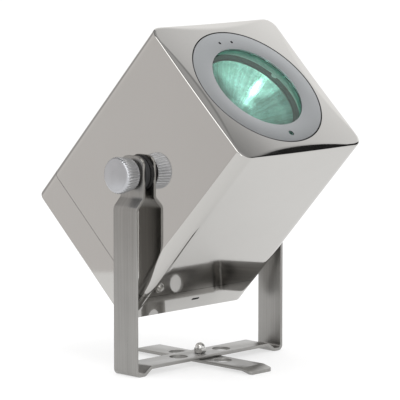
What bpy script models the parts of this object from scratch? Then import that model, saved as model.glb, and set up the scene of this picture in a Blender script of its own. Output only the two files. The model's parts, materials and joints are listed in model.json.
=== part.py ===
"""Underwater pond light: a mirror-polished square head, tilted between the arms of a bent-strap
stand, clamped by two hand knobs, with a cross strap that swivels under the stand's base.

Run with: blender --background --python part.py. Units are metres, +Z is up, the light shines
towards -Y and upwards, and the origin is under the middle of the object, on the ground."""

import math

import bmesh
import bpy
from mathutils import Vector

# Overall layout
BEAM_ELEVATION = math.radians(47)   # the beam's angle above the horizon
PIVOT_HEIGHT = 0.191                # the tilt axis above the ground
GAP = 0.0003                        # left between pieces that touch
STRIP = 0.003                       # thickness of both straps
STRAP_WIDTH = 0.030

# Head: a square sheet-metal box around the beam axis, measured from the tilt axis
HEAD_HALF = 0.0825                  # half the width of the square section
HEAD_FRONT = 0.1105                 # front face, ahead of the tilt axis
HEAD_REAR = 0.1185                  # rear face, behind the tilt axis
SEAM = 0.0865                       # joint line between housing and rear cover, behind the axis
SHEET = 0.0015                      # sheet thickness of the housing and the cover
EDGE_RADIUS = 0.012                 # folded edges along the beam
FOLD_RADIUS = 0.0015                # tight folds round the front and rear faces
SEAM_GAP = 0.0004

# Bezel, glass and optics, as radii and places along the beam
FRONT_HOLE_RADIUS = 0.0697
BEZEL_RADIUS = 0.0690
BEZEL_OPENING_RADIUS = 0.0482
BEZEL_FRONT = 0.1104
BEZEL_LIP = 0.0022
BEZEL_BACK = 0.1062
BEZEL_DRILL_DEPTH = 0.0030
SKIRT_INNER_RADIUS = 0.0586
SKIRT_OUTER_RADIUS = 0.0612
SKIRT_END = 0.0945
SPANNER_HOLE_X = 0.0080
SPANNER_HOLE_Y = 0.0565
SPANNER_HOLE_RADIUS = 0.0010
SPANNER_HOLE_DEPTH = 0.0020
LOCK_SCREW_Y = -0.0590
LOCK_SCREW_RADIUS = 0.0020
LOCK_SCREW_LENGTH = 0.0024
LOCK_SCREW_SINK = 0.0003            # how far its top sits under the bezel's face
LOCK_SOCKET_FLATS = 0.0020
LOCK_SOCKET_DEPTH = 0.0012
GLASS_RADIUS = 0.0540
GLASS_FRONT = 0.1071
GLASS_THICKNESS = 0.0220
GLASS_CHAMFER = 0.0008
GASKET_INNER_RADIUS = 0.0490
SEAL_THICKNESS = 0.0020
SEAL_INNER_RADIUS = 0.0455
DOWEL_ANGLE = math.radians(23.5)
DOWEL_RADIUS = 0.0030
DOWEL_INSET = 0.0010                # from the seal's edge to the dowel's centre
REFLECTOR_RIM_RADIUS = 0.0452
REFLECTOR_FLANGE_RADIUS = 0.0494
REFLECTOR_NECK_RADIUS = 0.0110
REFLECTOR_NECK = 0.0562
REFLECTOR_WALL = 0.0010
REFLECTOR_RINGS = 5
REFLECTOR_RING_SPREAD = 1.6         # above 1 crowds the rings at the neck, where the dish curves most
HOLDER_INNER_RADIUS = 0.0470
EMITTER_RADIUS = 0.0085
EMITTER_THICKNESS = 0.0013
EMITTER_CHAMFER = 0.0004
LED_BOARD_RADIUS = 0.0210
LED_BOARD_THICKNESS = 0.0012
SINK_TOP = 0.0535
SINK_PLATE = 0.0040
SINK_FIN_COUNT = 9
SINK_FIN_PITCH = 0.0115
SINK_FIN_THICKNESS = 0.0025
SINK_FIN_HEIGHT = 0.0240
SINK_RING_INNER_RADIUS = 0.0550
SINK_RING_THICKNESS = 0.0030

# Sealed lamp can behind the front panel
CAN_RADIUS = 0.0620
CAN_INNER_RADIUS = 0.0592
CAN_COLLAR_RADIUS = 0.0583
CAN_COLLAR_TOP = 0.1058
CAN_BORE_RADIUS = 0.0543
CAN_SHELF_RADIUS = 0.0500
CAN_SHELF_THICKNESS = 0.0030
CAN_SHELF_TAPER = 0.0040
CAN_FLANGE_RADIUS = 0.0795
CAN_FLANGE_FRONT = 0.0940
CAN_FLANGE_THICKNESS = 0.0030
CAN_REAR = -0.0280
CAN_CAP_THICKNESS = 0.0050
CAN_CAP_SPIGOT = 0.0080
CAN_RING_TUBE = 0.0011
CAN_SPIGOT_RADIUS = 0.0586
STUD_CIRCLE_RADIUS = 0.0750
FRONT_STUD_RADIUS = 0.0020
FRONT_STUD_SHOULDER_RADIUS = 0.0035
FRONT_STUD_END = 0.0840
FRONT_NUT_FLATS = 0.0070
FRONT_NUT_THICKNESS = 0.0032
DRIVER_SIZE = (0.070, 0.050, 0.022)
DRIVER_CORNER = 0.0030
DRIVER_FRONT = 0.0140
TERMINAL_SIZE = (0.024, 0.010, 0.009)
TERMINAL_CORNER = 0.0012
TRAY_RADIUS = 0.0450
TRAY_HUB_RADIUS = 0.0400
TRAY_SHEET = 0.0015
TRAY_HOLE_RADIUS = 0.0060

# Rear cover, its sleeve and its screws
SLEEVE_FRONT = 0.0740
SLEEVE_REAR = 0.0985
SLEEVE_FLANGE_WIDTH = 0.0170
COVER_SCREW_OFFSET = 0.0660
COVER_SCREW_RADIUS = 0.0020
COVER_SCREW_HEAD_RADIUS = 0.0038
COVER_SCREW_HEAD = 0.0022
COVER_SCREW_CHAMFER = 0.0010
COVER_SCREW_TIP = 0.0020            # how far the screw's tip runs past its pillar
PILLAR_RADIUS = 0.0045
DRAIN_SLOT_X = 0.0030
DRAIN_SLOT_Z = 0.1020
DRAIN_SLOT_LENGTH = 0.0100
DRAIN_SLOT_WIDTH = 0.0025
DRAIN_SLOT_END_RADIUS = 0.0012

# Cable glands
GLAND_THREAD_RADIUS = 0.0080
GLAND_BORE_RADIUS = 0.0050
GLAND_FLATS = 0.0220
GLAND_HEX = 0.0060
GLAND_NUT = 0.0120
GLAND_NUT_RADIUS = 0.0100
GLAND_NUT_ROUNDING = 0.0030
GLAND_THREAD_LENGTH = 0.0072        # of the body's thread inside the nut
GLAND_LOCKNUT = 0.0040
GLAND_THREAD_END = 0.0065           # how far the thread stands proud of the wall's inner face
GLAND_SEAL_DEPTH = 0.0060
CABLE_HOLE_RADIUS = 0.0035

# Tilt pivots, one on each side
WASHER_RADIUS = 0.0170
ARM_INNER = 0.0880                  # inner face of the arm's top, from the middle
BOSS_RADIUS = 0.0200
BOSS_THICKNESS = 0.0060
STUD_RADIUS = 0.0040                # M8
STUD_HOLE_RADIUS = 0.0043
STUD_HEAD_RADIUS = 0.0085
STUD_HEAD = 0.0050
STUD_END = 0.1070
STUD_CHAMFER = 0.0010
THRUST_RADIUS = 0.0100
THRUST_THICKNESS = 0.0012
KNOB_RADIUS = 0.0175                # where the fluted grip meets the rounded face
KNOB_INNER_RADIUS = 0.0152          # at the arm's end of the grip, which tapers
KNOB_HUB_RADIUS = 0.0090
KNOB_INNER_RIM = 0.0945
KNOB_GRIP_END = 0.1085
KNOB_ROUNDING = 0.0040              # of the edge between the grip and the face
KNOB_CROWN = 0.1140
KNOB_FLUTES = 36
KNOB_FLUTE_DEPTH = 0.0008
KNOB_CHAMFER = 0.0008
KNOB_BORE_END = 0.1085
KNOB_CROWN_RINGS = (0.25, 0.70)     # shares of the face's radius where the crown's rings lie

# Stand: one strap bent to a U, with a raised base between two feet
ARM_OUTER = 0.1005
JOGGLE_BOTTOM = 0.1588
JOGGLE_TOP = 0.1683
ARM_BEND_RADIUS = 0.0060
FOOT_BEND_RADIUS = 0.0040
BASE_HEIGHT = 0.0060                # underside of the raised base
FOOT_END = 0.0885
BASE_START = 0.0802
ARM_HOLE_RADIUS = 0.0044
ARM_END = 0.0170                    # how far the arms reach above the tilt axis
ARM_END_RADIUS = 0.0100
FIXING_HOLE_X = 0.0292
FIXING_HOLE_RADIUS = 0.00875
CENTRE_HOLE_RADIUS = 0.0033

# Cross strap under the base
CROSS_HALF = 0.0820
CROSS_BEND = 0.0700
CROSS_HOLE_Y = 0.0307
CROSS_HOLE_RADIUS = 0.0085
CROSS_CORNER_RADIUS = 0.0050
CROSS_TIP_RADIUS = 0.0080

# Centre bolt and cap nut
BOLT_RADIUS = 0.0030                # M6
BOLT_HEAD_RADIUS = 0.0070
BOLT_HEAD = 0.0021
BOLT_END = 0.0155
CAP_NUT_FLATS = 0.0100
CAP_NUT_HEX = 0.0045
CAP_NUT_HEIGHT = 0.0098
CAP_NUT_DOME_RADIUS = 0.0049
CAP_NUT_DOME_ROOT = 0.0010          # how far the dome reaches down into the hexagon
BOLT_HEAD_CHAMFER = 0.0010

ROUND_STEPS = 36
SMALL_STEPS = 20
CORNER_STEPS = 6
SMOOTH_ANGLE = math.radians(32)
MARGIN = 0.002                      # how far a cutter runs past the face it cuts

# The origin is the middle of the footprint, which the tilted head sets in Y.
PIVOT_Y = -(HEAD_REAR - HEAD_FRONT) / 2 * math.cos(BEAM_ELEVATION)
BASE_TOP = BASE_HEIGHT + STRIP
CROSS_TOP = BASE_HEIGHT - GAP
GLASS_BACK = GLASS_FRONT - GLASS_THICKNESS
SEAL_TOP = GLASS_BACK - GAP
SHELF_TOP = SEAL_TOP - SEAL_THICKNESS - GAP
PANEL_BACK = HEAD_FRONT - SHEET
COVER_INSIDE = -HEAD_REAR + SHEET

MATERIALS = {
    "mirror_steel": ((0.80, 0.79, 0.77), 0.05, 1.0),
    "brushed_steel": ((0.52, 0.51, 0.49), 0.32, 1.0),
    "satin_steel": ((0.55, 0.57, 0.59), 0.38, 1.0),
    "knob_steel": ((0.72, 0.73, 0.75), 0.28, 1.0),
    "bright_fastener": ((0.75, 0.75, 0.74), 0.15, 1.0),
    "black_rubber": ((0.02, 0.02, 0.02), 0.75, 0.0),
    "dark_seal": ((0.06, 0.08, 0.075), 0.60, 0.0),
    "green_glass": ((0.45, 0.80, 0.65), 0.02, 0.0),
    "reflector_mirror": ((0.80, 0.90, 0.85), 0.12, 1.0),
    "cast_aluminium": ((0.60, 0.61, 0.62), 0.45, 1.0),
    "circuit_board": ((0.05, 0.25, 0.12), 0.40, 0.0),
    "phosphor": ((0.85, 0.70, 0.25), 0.50, 0.0),
    "black_plastic": ((0.03, 0.03, 0.03), 0.45, 0.0),
    "nickel_brass": ((0.66, 0.64, 0.60), 0.25, 1.0),
}


def clear_scene():
    for item in list(bpy.data.objects):
        bpy.data.objects.remove(item, do_unlink=True)


def make_material(name):
    colour, roughness, metallic = MATERIALS[name]
    material = bpy.data.materials.get(name) or bpy.data.materials.new(name)
    material.use_nodes = True
    shader = material.node_tree.nodes["Principled BSDF"]
    shader.inputs["Base Color"].default_value = (*colour, 1.0)
    shader.inputs["Roughness"].default_value = roughness
    shader.inputs["Metallic"].default_value = metallic
    return material


def add_object(name, mesh_builder, material=None):
    """A new object at the origin from a filled bmesh, smooth where its faces meet shallowly."""
    bmesh.ops.recalc_face_normals(mesh_builder, faces=mesh_builder.faces)
    mesh = bpy.data.meshes.new(name)
    mesh_builder.to_mesh(mesh)
    mesh_builder.free()
    mesh.shade_smooth()
    mesh.set_sharp_from_angle(angle=SMOOTH_ANGLE)
    item = bpy.data.objects.new(name, mesh)
    bpy.context.scene.collection.objects.link(item)
    if material:
        mesh.materials.append(make_material(material))
    return item


def place(item, parent=None, location=(0, 0, 0), rotation=(0, 0, 0)):
    item.parent = parent
    item.location = location
    item.rotation_euler = rotation
    return item


def add_empty(name, location, rotation=(0, 0, 0), parent=None):
    empty = bpy.data.objects.new(name, None)
    bpy.context.scene.collection.objects.link(empty)
    return place(empty, parent, location, rotation)


def turned(name, profile, material=None, steps=ROUND_STEPS):
    """A body turned about +Z from a closed outline of (radius, height) points."""
    builder = bmesh.new()
    corners = [builder.verts.new((radius, 0.0, height)) for radius, height in profile]
    edges = [builder.edges.new(pair) for pair in zip(corners, corners[1:] + corners[:1])]
    bmesh.ops.spin(
        builder, geom=corners + edges, cent=(0, 0, 0), axis=(0, 0, 1),
        angle=2 * math.pi, steps=steps, use_merge=True,
    )
    bmesh.ops.remove_doubles(builder, verts=builder.verts, dist=1e-7)
    bmesh.ops.dissolve_degenerate(builder, edges=builder.edges, dist=1e-7)
    return add_object(name, builder, material)


def extruded(name, outline, start, end, material=None, axis="Z"):
    """A prism of an outline. Axis Z takes (x, y) points, Y takes (x, z) and X takes (y, z)."""
    to_space = {
        "Z": lambda a, b, along: (a, b, along),
        "Y": lambda a, b, along: (a, along, b),
        "X": lambda a, b, along: (along, a, b),
    }[axis]
    builder = bmesh.new()
    face = builder.faces.new([builder.verts.new(to_space(a, b, start)) for a, b in outline])
    moved = bmesh.ops.extrude_face_region(builder, geom=[face])["geom"]
    shift = Vector(to_space(0.0, 0.0, end - start))
    corners = [item for item in moved if isinstance(item, bmesh.types.BMVert)]
    bmesh.ops.translate(builder, vec=shift, verts=corners)
    return add_object(name, builder, material)


def stacked(name, sections, material=None):
    """A solid through closed outlines with equal counts of (x, y, z) points, capped at its ends."""
    builder = bmesh.new()
    rings = [[builder.verts.new(point) for point in section] for section in sections]
    count = len(rings[0])
    for lower, upper in zip(rings, rings[1:]):
        for first in range(count):
            second = (first + 1) % count
            builder.faces.new((lower[first], lower[second], upper[second], upper[first]))
    builder.faces.new(rings[0])
    builder.faces.new(rings[-1])
    return add_object(name, builder, material)


def arc_points(centre, radius, start, end, steps):
    span = end - start
    return [
        (
            centre[0] + radius * math.cos(start + span * step / steps),
            centre[1] + radius * math.sin(start + span * step / steps),
        )
        for step in range(steps + 1)
    ]


def circle(radius, steps):
    return arc_points((0, 0), radius, 0, 2 * math.pi * (steps - 1) / steps, steps - 1)


def rounded_rectangle(half_x, half_y, radius, steps=CORNER_STEPS):
    points = []
    for quarter, (side_x, side_y) in enumerate(((1, 1), (-1, 1), (-1, -1), (1, -1))):
        centre = (side_x * (half_x - radius), side_y * (half_y - radius))
        start = quarter * math.pi / 2
        points += arc_points(centre, radius, start, start + math.pi / 2, steps)
    return points


def hexagon(flats):
    radius = flats / math.sqrt(3)
    return [
        (radius * math.cos(corner * math.pi / 3), radius * math.sin(corner * math.pi / 3))
        for corner in range(6)
    ]


def bent_strip(corners, radii, thickness, steps=4):
    """The outline of a strip that follows a line of corners, each rounded to its own radius."""
    line = [Vector(corners[0])]
    for before, corner, after, radius in zip(corners, corners[1:], corners[2:], radii):
        corner = Vector(corner)
        back = (Vector(before) - corner).normalized()
        ahead = (Vector(after) - corner).normalized()
        half_angle = math.acos(max(-1.0, min(1.0, back.dot(ahead)))) / 2
        centre = corner + (back + ahead).normalized() * radius / math.sin(half_angle)
        tangent = radius / math.tan(half_angle)
        from_centre = corner + back * tangent - centre
        turn = (math.pi - 2 * half_angle) * (-1 if back.cross(ahead) > 0 else 1)
        for step in range(steps + 1):
            angle = turn * step / steps
            spun = Vector((
                from_centre.x * math.cos(angle) - from_centre.y * math.sin(angle),
                from_centre.x * math.sin(angle) + from_centre.y * math.cos(angle),
            ))
            line.append(centre + spun)
    line.append(Vector(corners[-1]))
    left, right = [], []
    for index, point in enumerate(line):
        forward = line[min(index + 1, len(line) - 1)] - line[max(index - 1, 0)]
        normal = Vector((-forward.y, forward.x)).normalized() * thickness / 2
        left.append(tuple(point + normal))
        right.append(tuple(point - normal))
    return left + right[::-1]


def combine(item, tool, operation="DIFFERENCE"):
    """Cut, join or trim an object by a tool that is not itself a piece of the model."""
    tool.hide_render = True
    tool.display_type = "WIRE"
    modifier = item.modifiers.new(tool.name, "BOOLEAN")
    modifier.operation = operation
    modifier.solver = "EXACT"
    modifier.object = tool
    return item


def drill(item, radius, start, end, location=(0, 0, 0), axis="Z", parent=None, steps=SMALL_STEPS):
    """Cut a round hole of a given radius from start to end along an axis through a location."""
    name = f"{item.name}_hole_{len(item.modifiers)}"
    tool = extruded(name, circle(radius, steps), start, end, axis=axis)
    place(tool, parent, location)
    return combine(item, tool)


# ---------------------------------------------------------------- stand


def make_stand(stand):
    arm = ARM_OUTER - STRIP / 2
    arm_top = ARM_INNER + STRIP / 2
    foot = STRIP / 2
    base = BASE_HEIGHT + STRIP / 2
    top = PIVOT_HEIGHT + ARM_END + MARGIN
    right = [
        (BASE_START, base), (FOOT_END, foot), (arm, foot),
        (arm, JOGGLE_BOTTOM), (arm_top, JOGGLE_TOP), (arm_top, top),
    ]
    left = [(-x, z) for x, z in reversed(right)]
    half_radii = [ARM_BEND_RADIUS, ARM_BEND_RADIUS, FOOT_BEND_RADIUS, FOOT_BEND_RADIUS,
                  FOOT_BEND_RADIUS]
    outline = bent_strip(left + right, half_radii + half_radii[::-1], STRIP)
    half = STRAP_WIDTH / 2
    bracket = extruded("u_bracket", outline, -half, half, "brushed_steel", axis="Y")
    place(bracket, stand)
    # The arms end a little above the tilt axis, with well-rounded corners.
    bend = PIVOT_HEIGHT + ARM_END - ARM_END_RADIUS
    side = arc_points((half - ARM_END_RADIUS, bend), ARM_END_RADIUS, 0, math.pi / 2, 7)
    side += arc_points((ARM_END_RADIUS - half, bend), ARM_END_RADIUS, math.pi / 2, math.pi, 7)
    side = [(-half - MARGIN, -MARGIN), (half + MARGIN, -MARGIN),
            (half + MARGIN, JOGGLE_TOP), (half, JOGGLE_TOP)] + side
    side += [(-half, JOGGLE_TOP), (-half - MARGIN, JOGGLE_TOP)]
    trim = extruded("arm_end_trim", side, -ARM_OUTER - MARGIN, ARM_OUTER + MARGIN, axis="X")
    combine(bracket, place(trim, stand), "INTERSECT")
    reach = ARM_OUTER + MARGIN
    drill(bracket, ARM_HOLE_RADIUS, -reach, reach, (0, 0, PIVOT_HEIGHT), "X", stand)
    for x in (-FIXING_HOLE_X, FIXING_HOLE_X):
        drill(bracket, FIXING_HOLE_RADIUS, 0.0, BASE_TOP + MARGIN, (x, 0, 0), "Z", stand, 24)
    drill(bracket, CENTRE_HOLE_RADIUS, 0.0, BASE_TOP + MARGIN, (0, 0, 0), "Z", stand)
    return bracket


def make_cross_strap(parent):
    flat = CROSS_TOP - STRIP / 2
    slope = math.atan2(flat - STRIP / 2, CROSS_HALF - CROSS_BEND)
    tip = STRIP / 2 * math.cos(slope)
    right = [(CROSS_BEND, flat), (CROSS_HALF, tip)]
    left = [(-y, z) for y, z in reversed(right)]
    outline = bent_strip(left + right, [CROSS_TIP_RADIUS, CROSS_TIP_RADIUS], STRIP)
    half = STRAP_WIDTH / 2
    strap = extruded("cross_strap", outline, -half, half, "brushed_steel", axis="X")
    place(strap, parent, (0, 0, 0))
    plan = rounded_rectangle(half + GAP, CROSS_HALF, CROSS_CORNER_RADIUS)
    trim = extruded("cross_strap_trim", plan, -MARGIN, CROSS_TOP + MARGIN, axis="Z")
    combine(strap, place(trim, parent), "INTERSECT")
    for y in (-CROSS_HOLE_Y, CROSS_HOLE_Y):
        drill(strap, CROSS_HOLE_RADIUS, 0.0, BASE_HEIGHT, (0, y, 0), "Z", parent, 24)
    drill(strap, CENTRE_HOLE_RADIUS, 0.0, BASE_HEIGHT, (0, 0, 0), "Z", parent)
    return strap


def make_centre_bolt(stand):
    head_top = CROSS_TOP - STRIP - GAP
    profile = [
        (0, head_top - BOLT_HEAD),
        (BOLT_HEAD_RADIUS - BOLT_HEAD_CHAMFER, head_top - BOLT_HEAD),
        (BOLT_HEAD_RADIUS, head_top - BOLT_HEAD + BOLT_HEAD_CHAMFER), (BOLT_HEAD_RADIUS, head_top),
        (BOLT_RADIUS, head_top), (BOLT_RADIUS, BOLT_END), (0, BOLT_END),
    ]
    return place(turned("centre_bolt", profile, "bright_fastener", SMALL_STEPS), stand)


def make_cap_nut(stand):
    bottom = BASE_TOP + GAP
    hex_top = bottom + CAP_NUT_HEX
    top = bottom + CAP_NUT_HEIGHT
    nut = extruded("cap_nut", hexagon(CAP_NUT_FLATS), bottom, hex_top, "bright_fastener")
    place(nut, stand)
    shoulder = top - CAP_NUT_DOME_RADIUS
    root = hex_top - CAP_NUT_DOME_ROOT
    dome = [(0, root), (CAP_NUT_DOME_RADIUS, root), (CAP_NUT_DOME_RADIUS, shoulder)]
    dome += arc_points((0, shoulder), CAP_NUT_DOME_RADIUS, 0, math.pi / 2, 6)[1:]
    dome[-1] = (0, top)
    combine(nut, place(turned("cap_nut_dome", dome, steps=24), stand), "UNION")
    drill(nut, BOLT_RADIUS + GAP, bottom - MARGIN, BOLT_END + GAP, (0, 0, 0), "Z", stand)
    return nut


# ---------------------------------------------------------------- head: casing


def square_section(half, radius, along):
    return [(x, y, along) for x, y in rounded_rectangle(half, half, radius)]


def folded_box(name, places, half, radius, fold, material):
    """A square block along the beam whose far end, the last place, is folded with a small radius."""
    start, end = places
    step = 1 if end > start else -1
    sections = [square_section(half, radius, start), square_section(half, radius, end - step * fold)]
    for angle in (30, 60, 90):
        inset = fold * (1 - math.cos(math.radians(angle)))
        along = end - step * fold * (1 - math.sin(math.radians(angle)))
        sections.append(square_section(half - inset, radius - inset, along))
    return stacked(name, sections, material)


def hollow(item, places, parent):
    start, end = places
    inside = [square_section(HEAD_HALF - SHEET, EDGE_RADIUS - SHEET, along) for along in (start, end)]
    tool = place(stacked(item.name + "_hollow", inside), parent)
    return combine(item, tool)


def make_housing_shell(head):
    rear = -SEAM + SEAM_GAP / 2
    shell = folded_box("housing_shell", (rear, HEAD_FRONT), HEAD_HALF, EDGE_RADIUS, FOLD_RADIUS,
                       "mirror_steel")
    place(shell, head)
    hollow(shell, (rear - MARGIN, PANEL_BACK), head)
    drill(shell, FRONT_HOLE_RADIUS, PANEL_BACK - MARGIN, HEAD_FRONT + MARGIN, parent=head, steps=48)
    reach = HEAD_HALF + MARGIN
    drill(shell, STUD_HOLE_RADIUS, -reach, reach, axis="X", parent=head)
    return shell


def make_rear_cover(head):
    front = -SEAM - SEAM_GAP / 2
    cover = folded_box("rear_cover", (front, -HEAD_REAR), HEAD_HALF, EDGE_RADIUS, FOLD_RADIUS,
                       "mirror_steel")
    place(cover, head)
    hollow(cover, (front + MARGIN, COVER_INSIDE), head)
    through = (-HEAD_REAR - MARGIN, COVER_INSIDE + MARGIN)
    drill(cover, GLAND_THREAD_RADIUS + GAP, *through, parent=head)
    for x, y in corner_places(COVER_SCREW_OFFSET):
        drill(cover, COVER_SCREW_RADIUS + GAP, *through, (x, y, 0), "Z", head, 12)
    slot = rounded_rectangle(DRAIN_SLOT_LENGTH / 2, DRAIN_SLOT_WIDTH / 2,
                             DRAIN_SLOT_END_RADIUS, 4)
    tool = extruded("drain_slot", slot, -HEAD_HALF - MARGIN, -HEAD_HALF + 2 * MARGIN, axis="Y")
    combine(cover, place(tool, head, (DRAIN_SLOT_X, 0, -DRAIN_SLOT_Z)))
    return cover


def corner_places(offset):
    return [(offset, offset), (-offset, offset), (-offset, -offset), (offset, -offset)]


def make_seam_sleeve(head):
    """A square sleeve inside the joint line, welded to the housing, with a flange for the cover."""
    outer = HEAD_HALF - SHEET - GAP
    radius = EDGE_RADIUS - SHEET - GAP
    sections = [square_section(outer, radius, along) for along in (-SLEEVE_FRONT, -SLEEVE_REAR)]
    sleeve = place(stacked("seam_sleeve", sections, "brushed_steel"), head)
    inner = [square_section(outer - SHEET, radius - SHEET, along)
             for along in (-SLEEVE_FRONT + MARGIN, -SLEEVE_REAR + SHEET)]
    combine(sleeve, place(stacked("sleeve_hollow", inner), head))
    window = [square_section(outer - SLEEVE_FLANGE_WIDTH - SHEET, radius, along)
              for along in (-SLEEVE_REAR - MARGIN, -SLEEVE_REAR + 2 * MARGIN)]
    combine(sleeve, place(stacked("sleeve_window", window), head))
    for x, y in corner_places(COVER_SCREW_OFFSET):
        drill(sleeve, COVER_SCREW_RADIUS + GAP, -SLEEVE_REAR - MARGIN, -SLEEVE_REAR + 2 * MARGIN,
              (x, y, 0), "Z", head, 12)
    return sleeve


def make_cover_fixings(head):
    """A pillar on the sleeve's flange and a screw through the cover at each corner."""
    pillar_front = -SLEEVE_REAR - GAP
    pillar_rear = COVER_INSIDE + GAP
    screw_hole = COVER_SCREW_RADIUS + GAP
    pillar = [(screw_hole, pillar_front), (PILLAR_RADIUS, pillar_front),
              (PILLAR_RADIUS, pillar_rear), (screw_hole, pillar_rear)]
    seat = -HEAD_REAR - GAP
    head_end = seat - COVER_SCREW_HEAD
    tip = pillar_front + COVER_SCREW_TIP
    screw = [
        (0, tip), (COVER_SCREW_RADIUS, tip),
        (COVER_SCREW_RADIUS, seat), (COVER_SCREW_HEAD_RADIUS, seat),
        (COVER_SCREW_HEAD_RADIUS, head_end + COVER_SCREW_CHAMFER),
        (COVER_SCREW_HEAD_RADIUS - COVER_SCREW_CHAMFER, head_end), (0, head_end),
    ]
    for number, (x, y) in enumerate(corner_places(COVER_SCREW_OFFSET), start=1):
        place(turned(f"cover_pillar_{number}", pillar, "bright_fastener", 12), head, (x, y, 0))
        place(turned(f"cover_screw_{number}", screw, "bright_fastener", 12), head, (x, y, 0))


# ---------------------------------------------------------------- head: front and optics


def make_bezel_ring(head):
    lip_back = BEZEL_FRONT - BEZEL_LIP
    profile = [
        (BEZEL_OPENING_RADIUS, lip_back), (BEZEL_OPENING_RADIUS, BEZEL_FRONT),
        (BEZEL_RADIUS, BEZEL_FRONT), (BEZEL_RADIUS, BEZEL_BACK),
        (SKIRT_OUTER_RADIUS, BEZEL_BACK),
        (SKIRT_OUTER_RADIUS, SKIRT_END),
        (SKIRT_INNER_RADIUS, SKIRT_END),
        (SKIRT_INNER_RADIUS, GLASS_FRONT),
        (GLASS_RADIUS + GAP, GLASS_FRONT), (GLASS_RADIUS + GAP, lip_back),
    ]
    ring = place(turned("bezel_ring", profile, "satin_steel"), head)
    bottom = BEZEL_FRONT - SPANNER_HOLE_DEPTH
    for x in (-SPANNER_HOLE_X, SPANNER_HOLE_X):
        drill(ring, SPANNER_HOLE_RADIUS, bottom, BEZEL_FRONT + MARGIN,
              (x, SPANNER_HOLE_Y, 0), "Z", head, 10)
    drill(ring, LOCK_SCREW_RADIUS + GAP, BEZEL_FRONT - BEZEL_DRILL_DEPTH, BEZEL_FRONT + MARGIN,
          (0, LOCK_SCREW_Y, 0), "Z", head, 16)
    return ring


def make_lock_screw(head):
    top = BEZEL_FRONT - LOCK_SCREW_SINK
    screw = extruded("bezel_lock_screw", circle(LOCK_SCREW_RADIUS, 16), top - LOCK_SCREW_LENGTH,
                     top, "bright_fastener")
    place(screw, head, (0, LOCK_SCREW_Y, 0))
    socket = extruded("lock_screw_socket", hexagon(LOCK_SOCKET_FLATS), top - LOCK_SOCKET_DEPTH,
                      top + MARGIN)
    return combine(screw, place(socket, head, (0, LOCK_SCREW_Y, 0)))


def make_glass(head):
    chamfer = GLASS_CHAMFER
    profile = [
        (0, GLASS_BACK), (GLASS_RADIUS - chamfer, GLASS_BACK),
        (GLASS_RADIUS, GLASS_BACK + chamfer), (GLASS_RADIUS, GLASS_FRONT - chamfer),
        (GLASS_RADIUS - chamfer, GLASS_FRONT), (0, GLASS_FRONT),
    ]
    return place(turned("lens_glass", profile, "green_glass"), head)


def make_front_gasket(head):
    top = BEZEL_FRONT - BEZEL_LIP - GAP
    bottom = GLASS_FRONT + GAP
    edge = GLASS_RADIUS - GAP
    profile = [(GASKET_INNER_RADIUS, bottom), (edge, bottom), (edge, top), (GASKET_INNER_RADIUS, top)]
    return place(turned("front_gasket", profile, "black_rubber"), head)


def make_seat_seal(head):
    """The flat seal under the glass, with a half-round notch for the locating dowel."""
    bottom = SEAL_TOP - SEAL_THICKNESS
    profile = [(SEAL_INNER_RADIUS, bottom), (GLASS_RADIUS, bottom),
               (GLASS_RADIUS, SEAL_TOP), (SEAL_INNER_RADIUS, SEAL_TOP)]
    seal = place(turned("seat_seal", profile, "dark_seal"), head)
    drill(seal, DOWEL_RADIUS + GAP, bottom - MARGIN, SEAL_TOP + MARGIN, dowel_place(), "Z", head, 16)
    return seal


def dowel_place():
    radius = GLASS_RADIUS - DOWEL_INSET
    return (radius * math.cos(DOWEL_ANGLE), radius * math.sin(DOWEL_ANGLE), 0)


def make_dowel(head):
    """The half-round locating dowel on the can's shelf, flattened where it meets the can's bore."""
    bottom = SHELF_TOP + GAP
    dowel = extruded("locating_dowel", circle(DOWEL_RADIUS, 16), bottom, SEAL_TOP,
                     "bright_fastener")
    place(dowel, head, dowel_place())
    bore = circle(CAN_BORE_RADIUS - GAP, 64)
    trim = extruded("dowel_trim", bore, bottom - MARGIN, SEAL_TOP + MARGIN)
    return combine(dowel, place(trim, head), "INTERSECT")


def reflector_radius(along):
    """Radius of the dish's inner face at a place along the beam: a parabola from neck to rim."""
    rim_place = SHELF_TOP
    share = (along - REFLECTOR_NECK) / (rim_place - REFLECTOR_NECK)
    return math.sqrt(REFLECTOR_NECK_RADIUS ** 2
                     + share * (REFLECTOR_RIM_RADIUS ** 2 - REFLECTOR_NECK_RADIUS ** 2))


def make_reflector(head):
    top = SHELF_TOP
    depth = top - REFLECTOR_NECK
    shares = [(step / REFLECTOR_RINGS) ** REFLECTOR_RING_SPREAD
              for step in range(REFLECTOR_RINGS + 1)]
    inner = [(reflector_radius(REFLECTOR_NECK + depth * share), REFLECTOR_NECK + depth * share)
             for share in shares]
    outer = [(radius + REFLECTOR_WALL, along) for radius, along in inner[:-1]]
    flange_bottom = top - REFLECTOR_WALL
    flange = [(REFLECTOR_RIM_RADIUS + REFLECTOR_WALL, flange_bottom),
              (REFLECTOR_FLANGE_RADIUS, flange_bottom), (REFLECTOR_FLANGE_RADIUS, top)]
    profile = inner + (outer + flange)[::-1]
    return place(turned("reflector", profile, "reflector_mirror"), head)


def make_reflector_holder(head):
    bottom = SINK_TOP + GAP
    top = SHELF_TOP - REFLECTOR_WALL - GAP
    profile = [(HOLDER_INNER_RADIUS, bottom), (REFLECTOR_FLANGE_RADIUS, bottom),
               (REFLECTOR_FLANGE_RADIUS, top), (HOLDER_INNER_RADIUS, top)]
    return place(turned("reflector_holder", profile, "cast_aluminium"), head)


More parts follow.
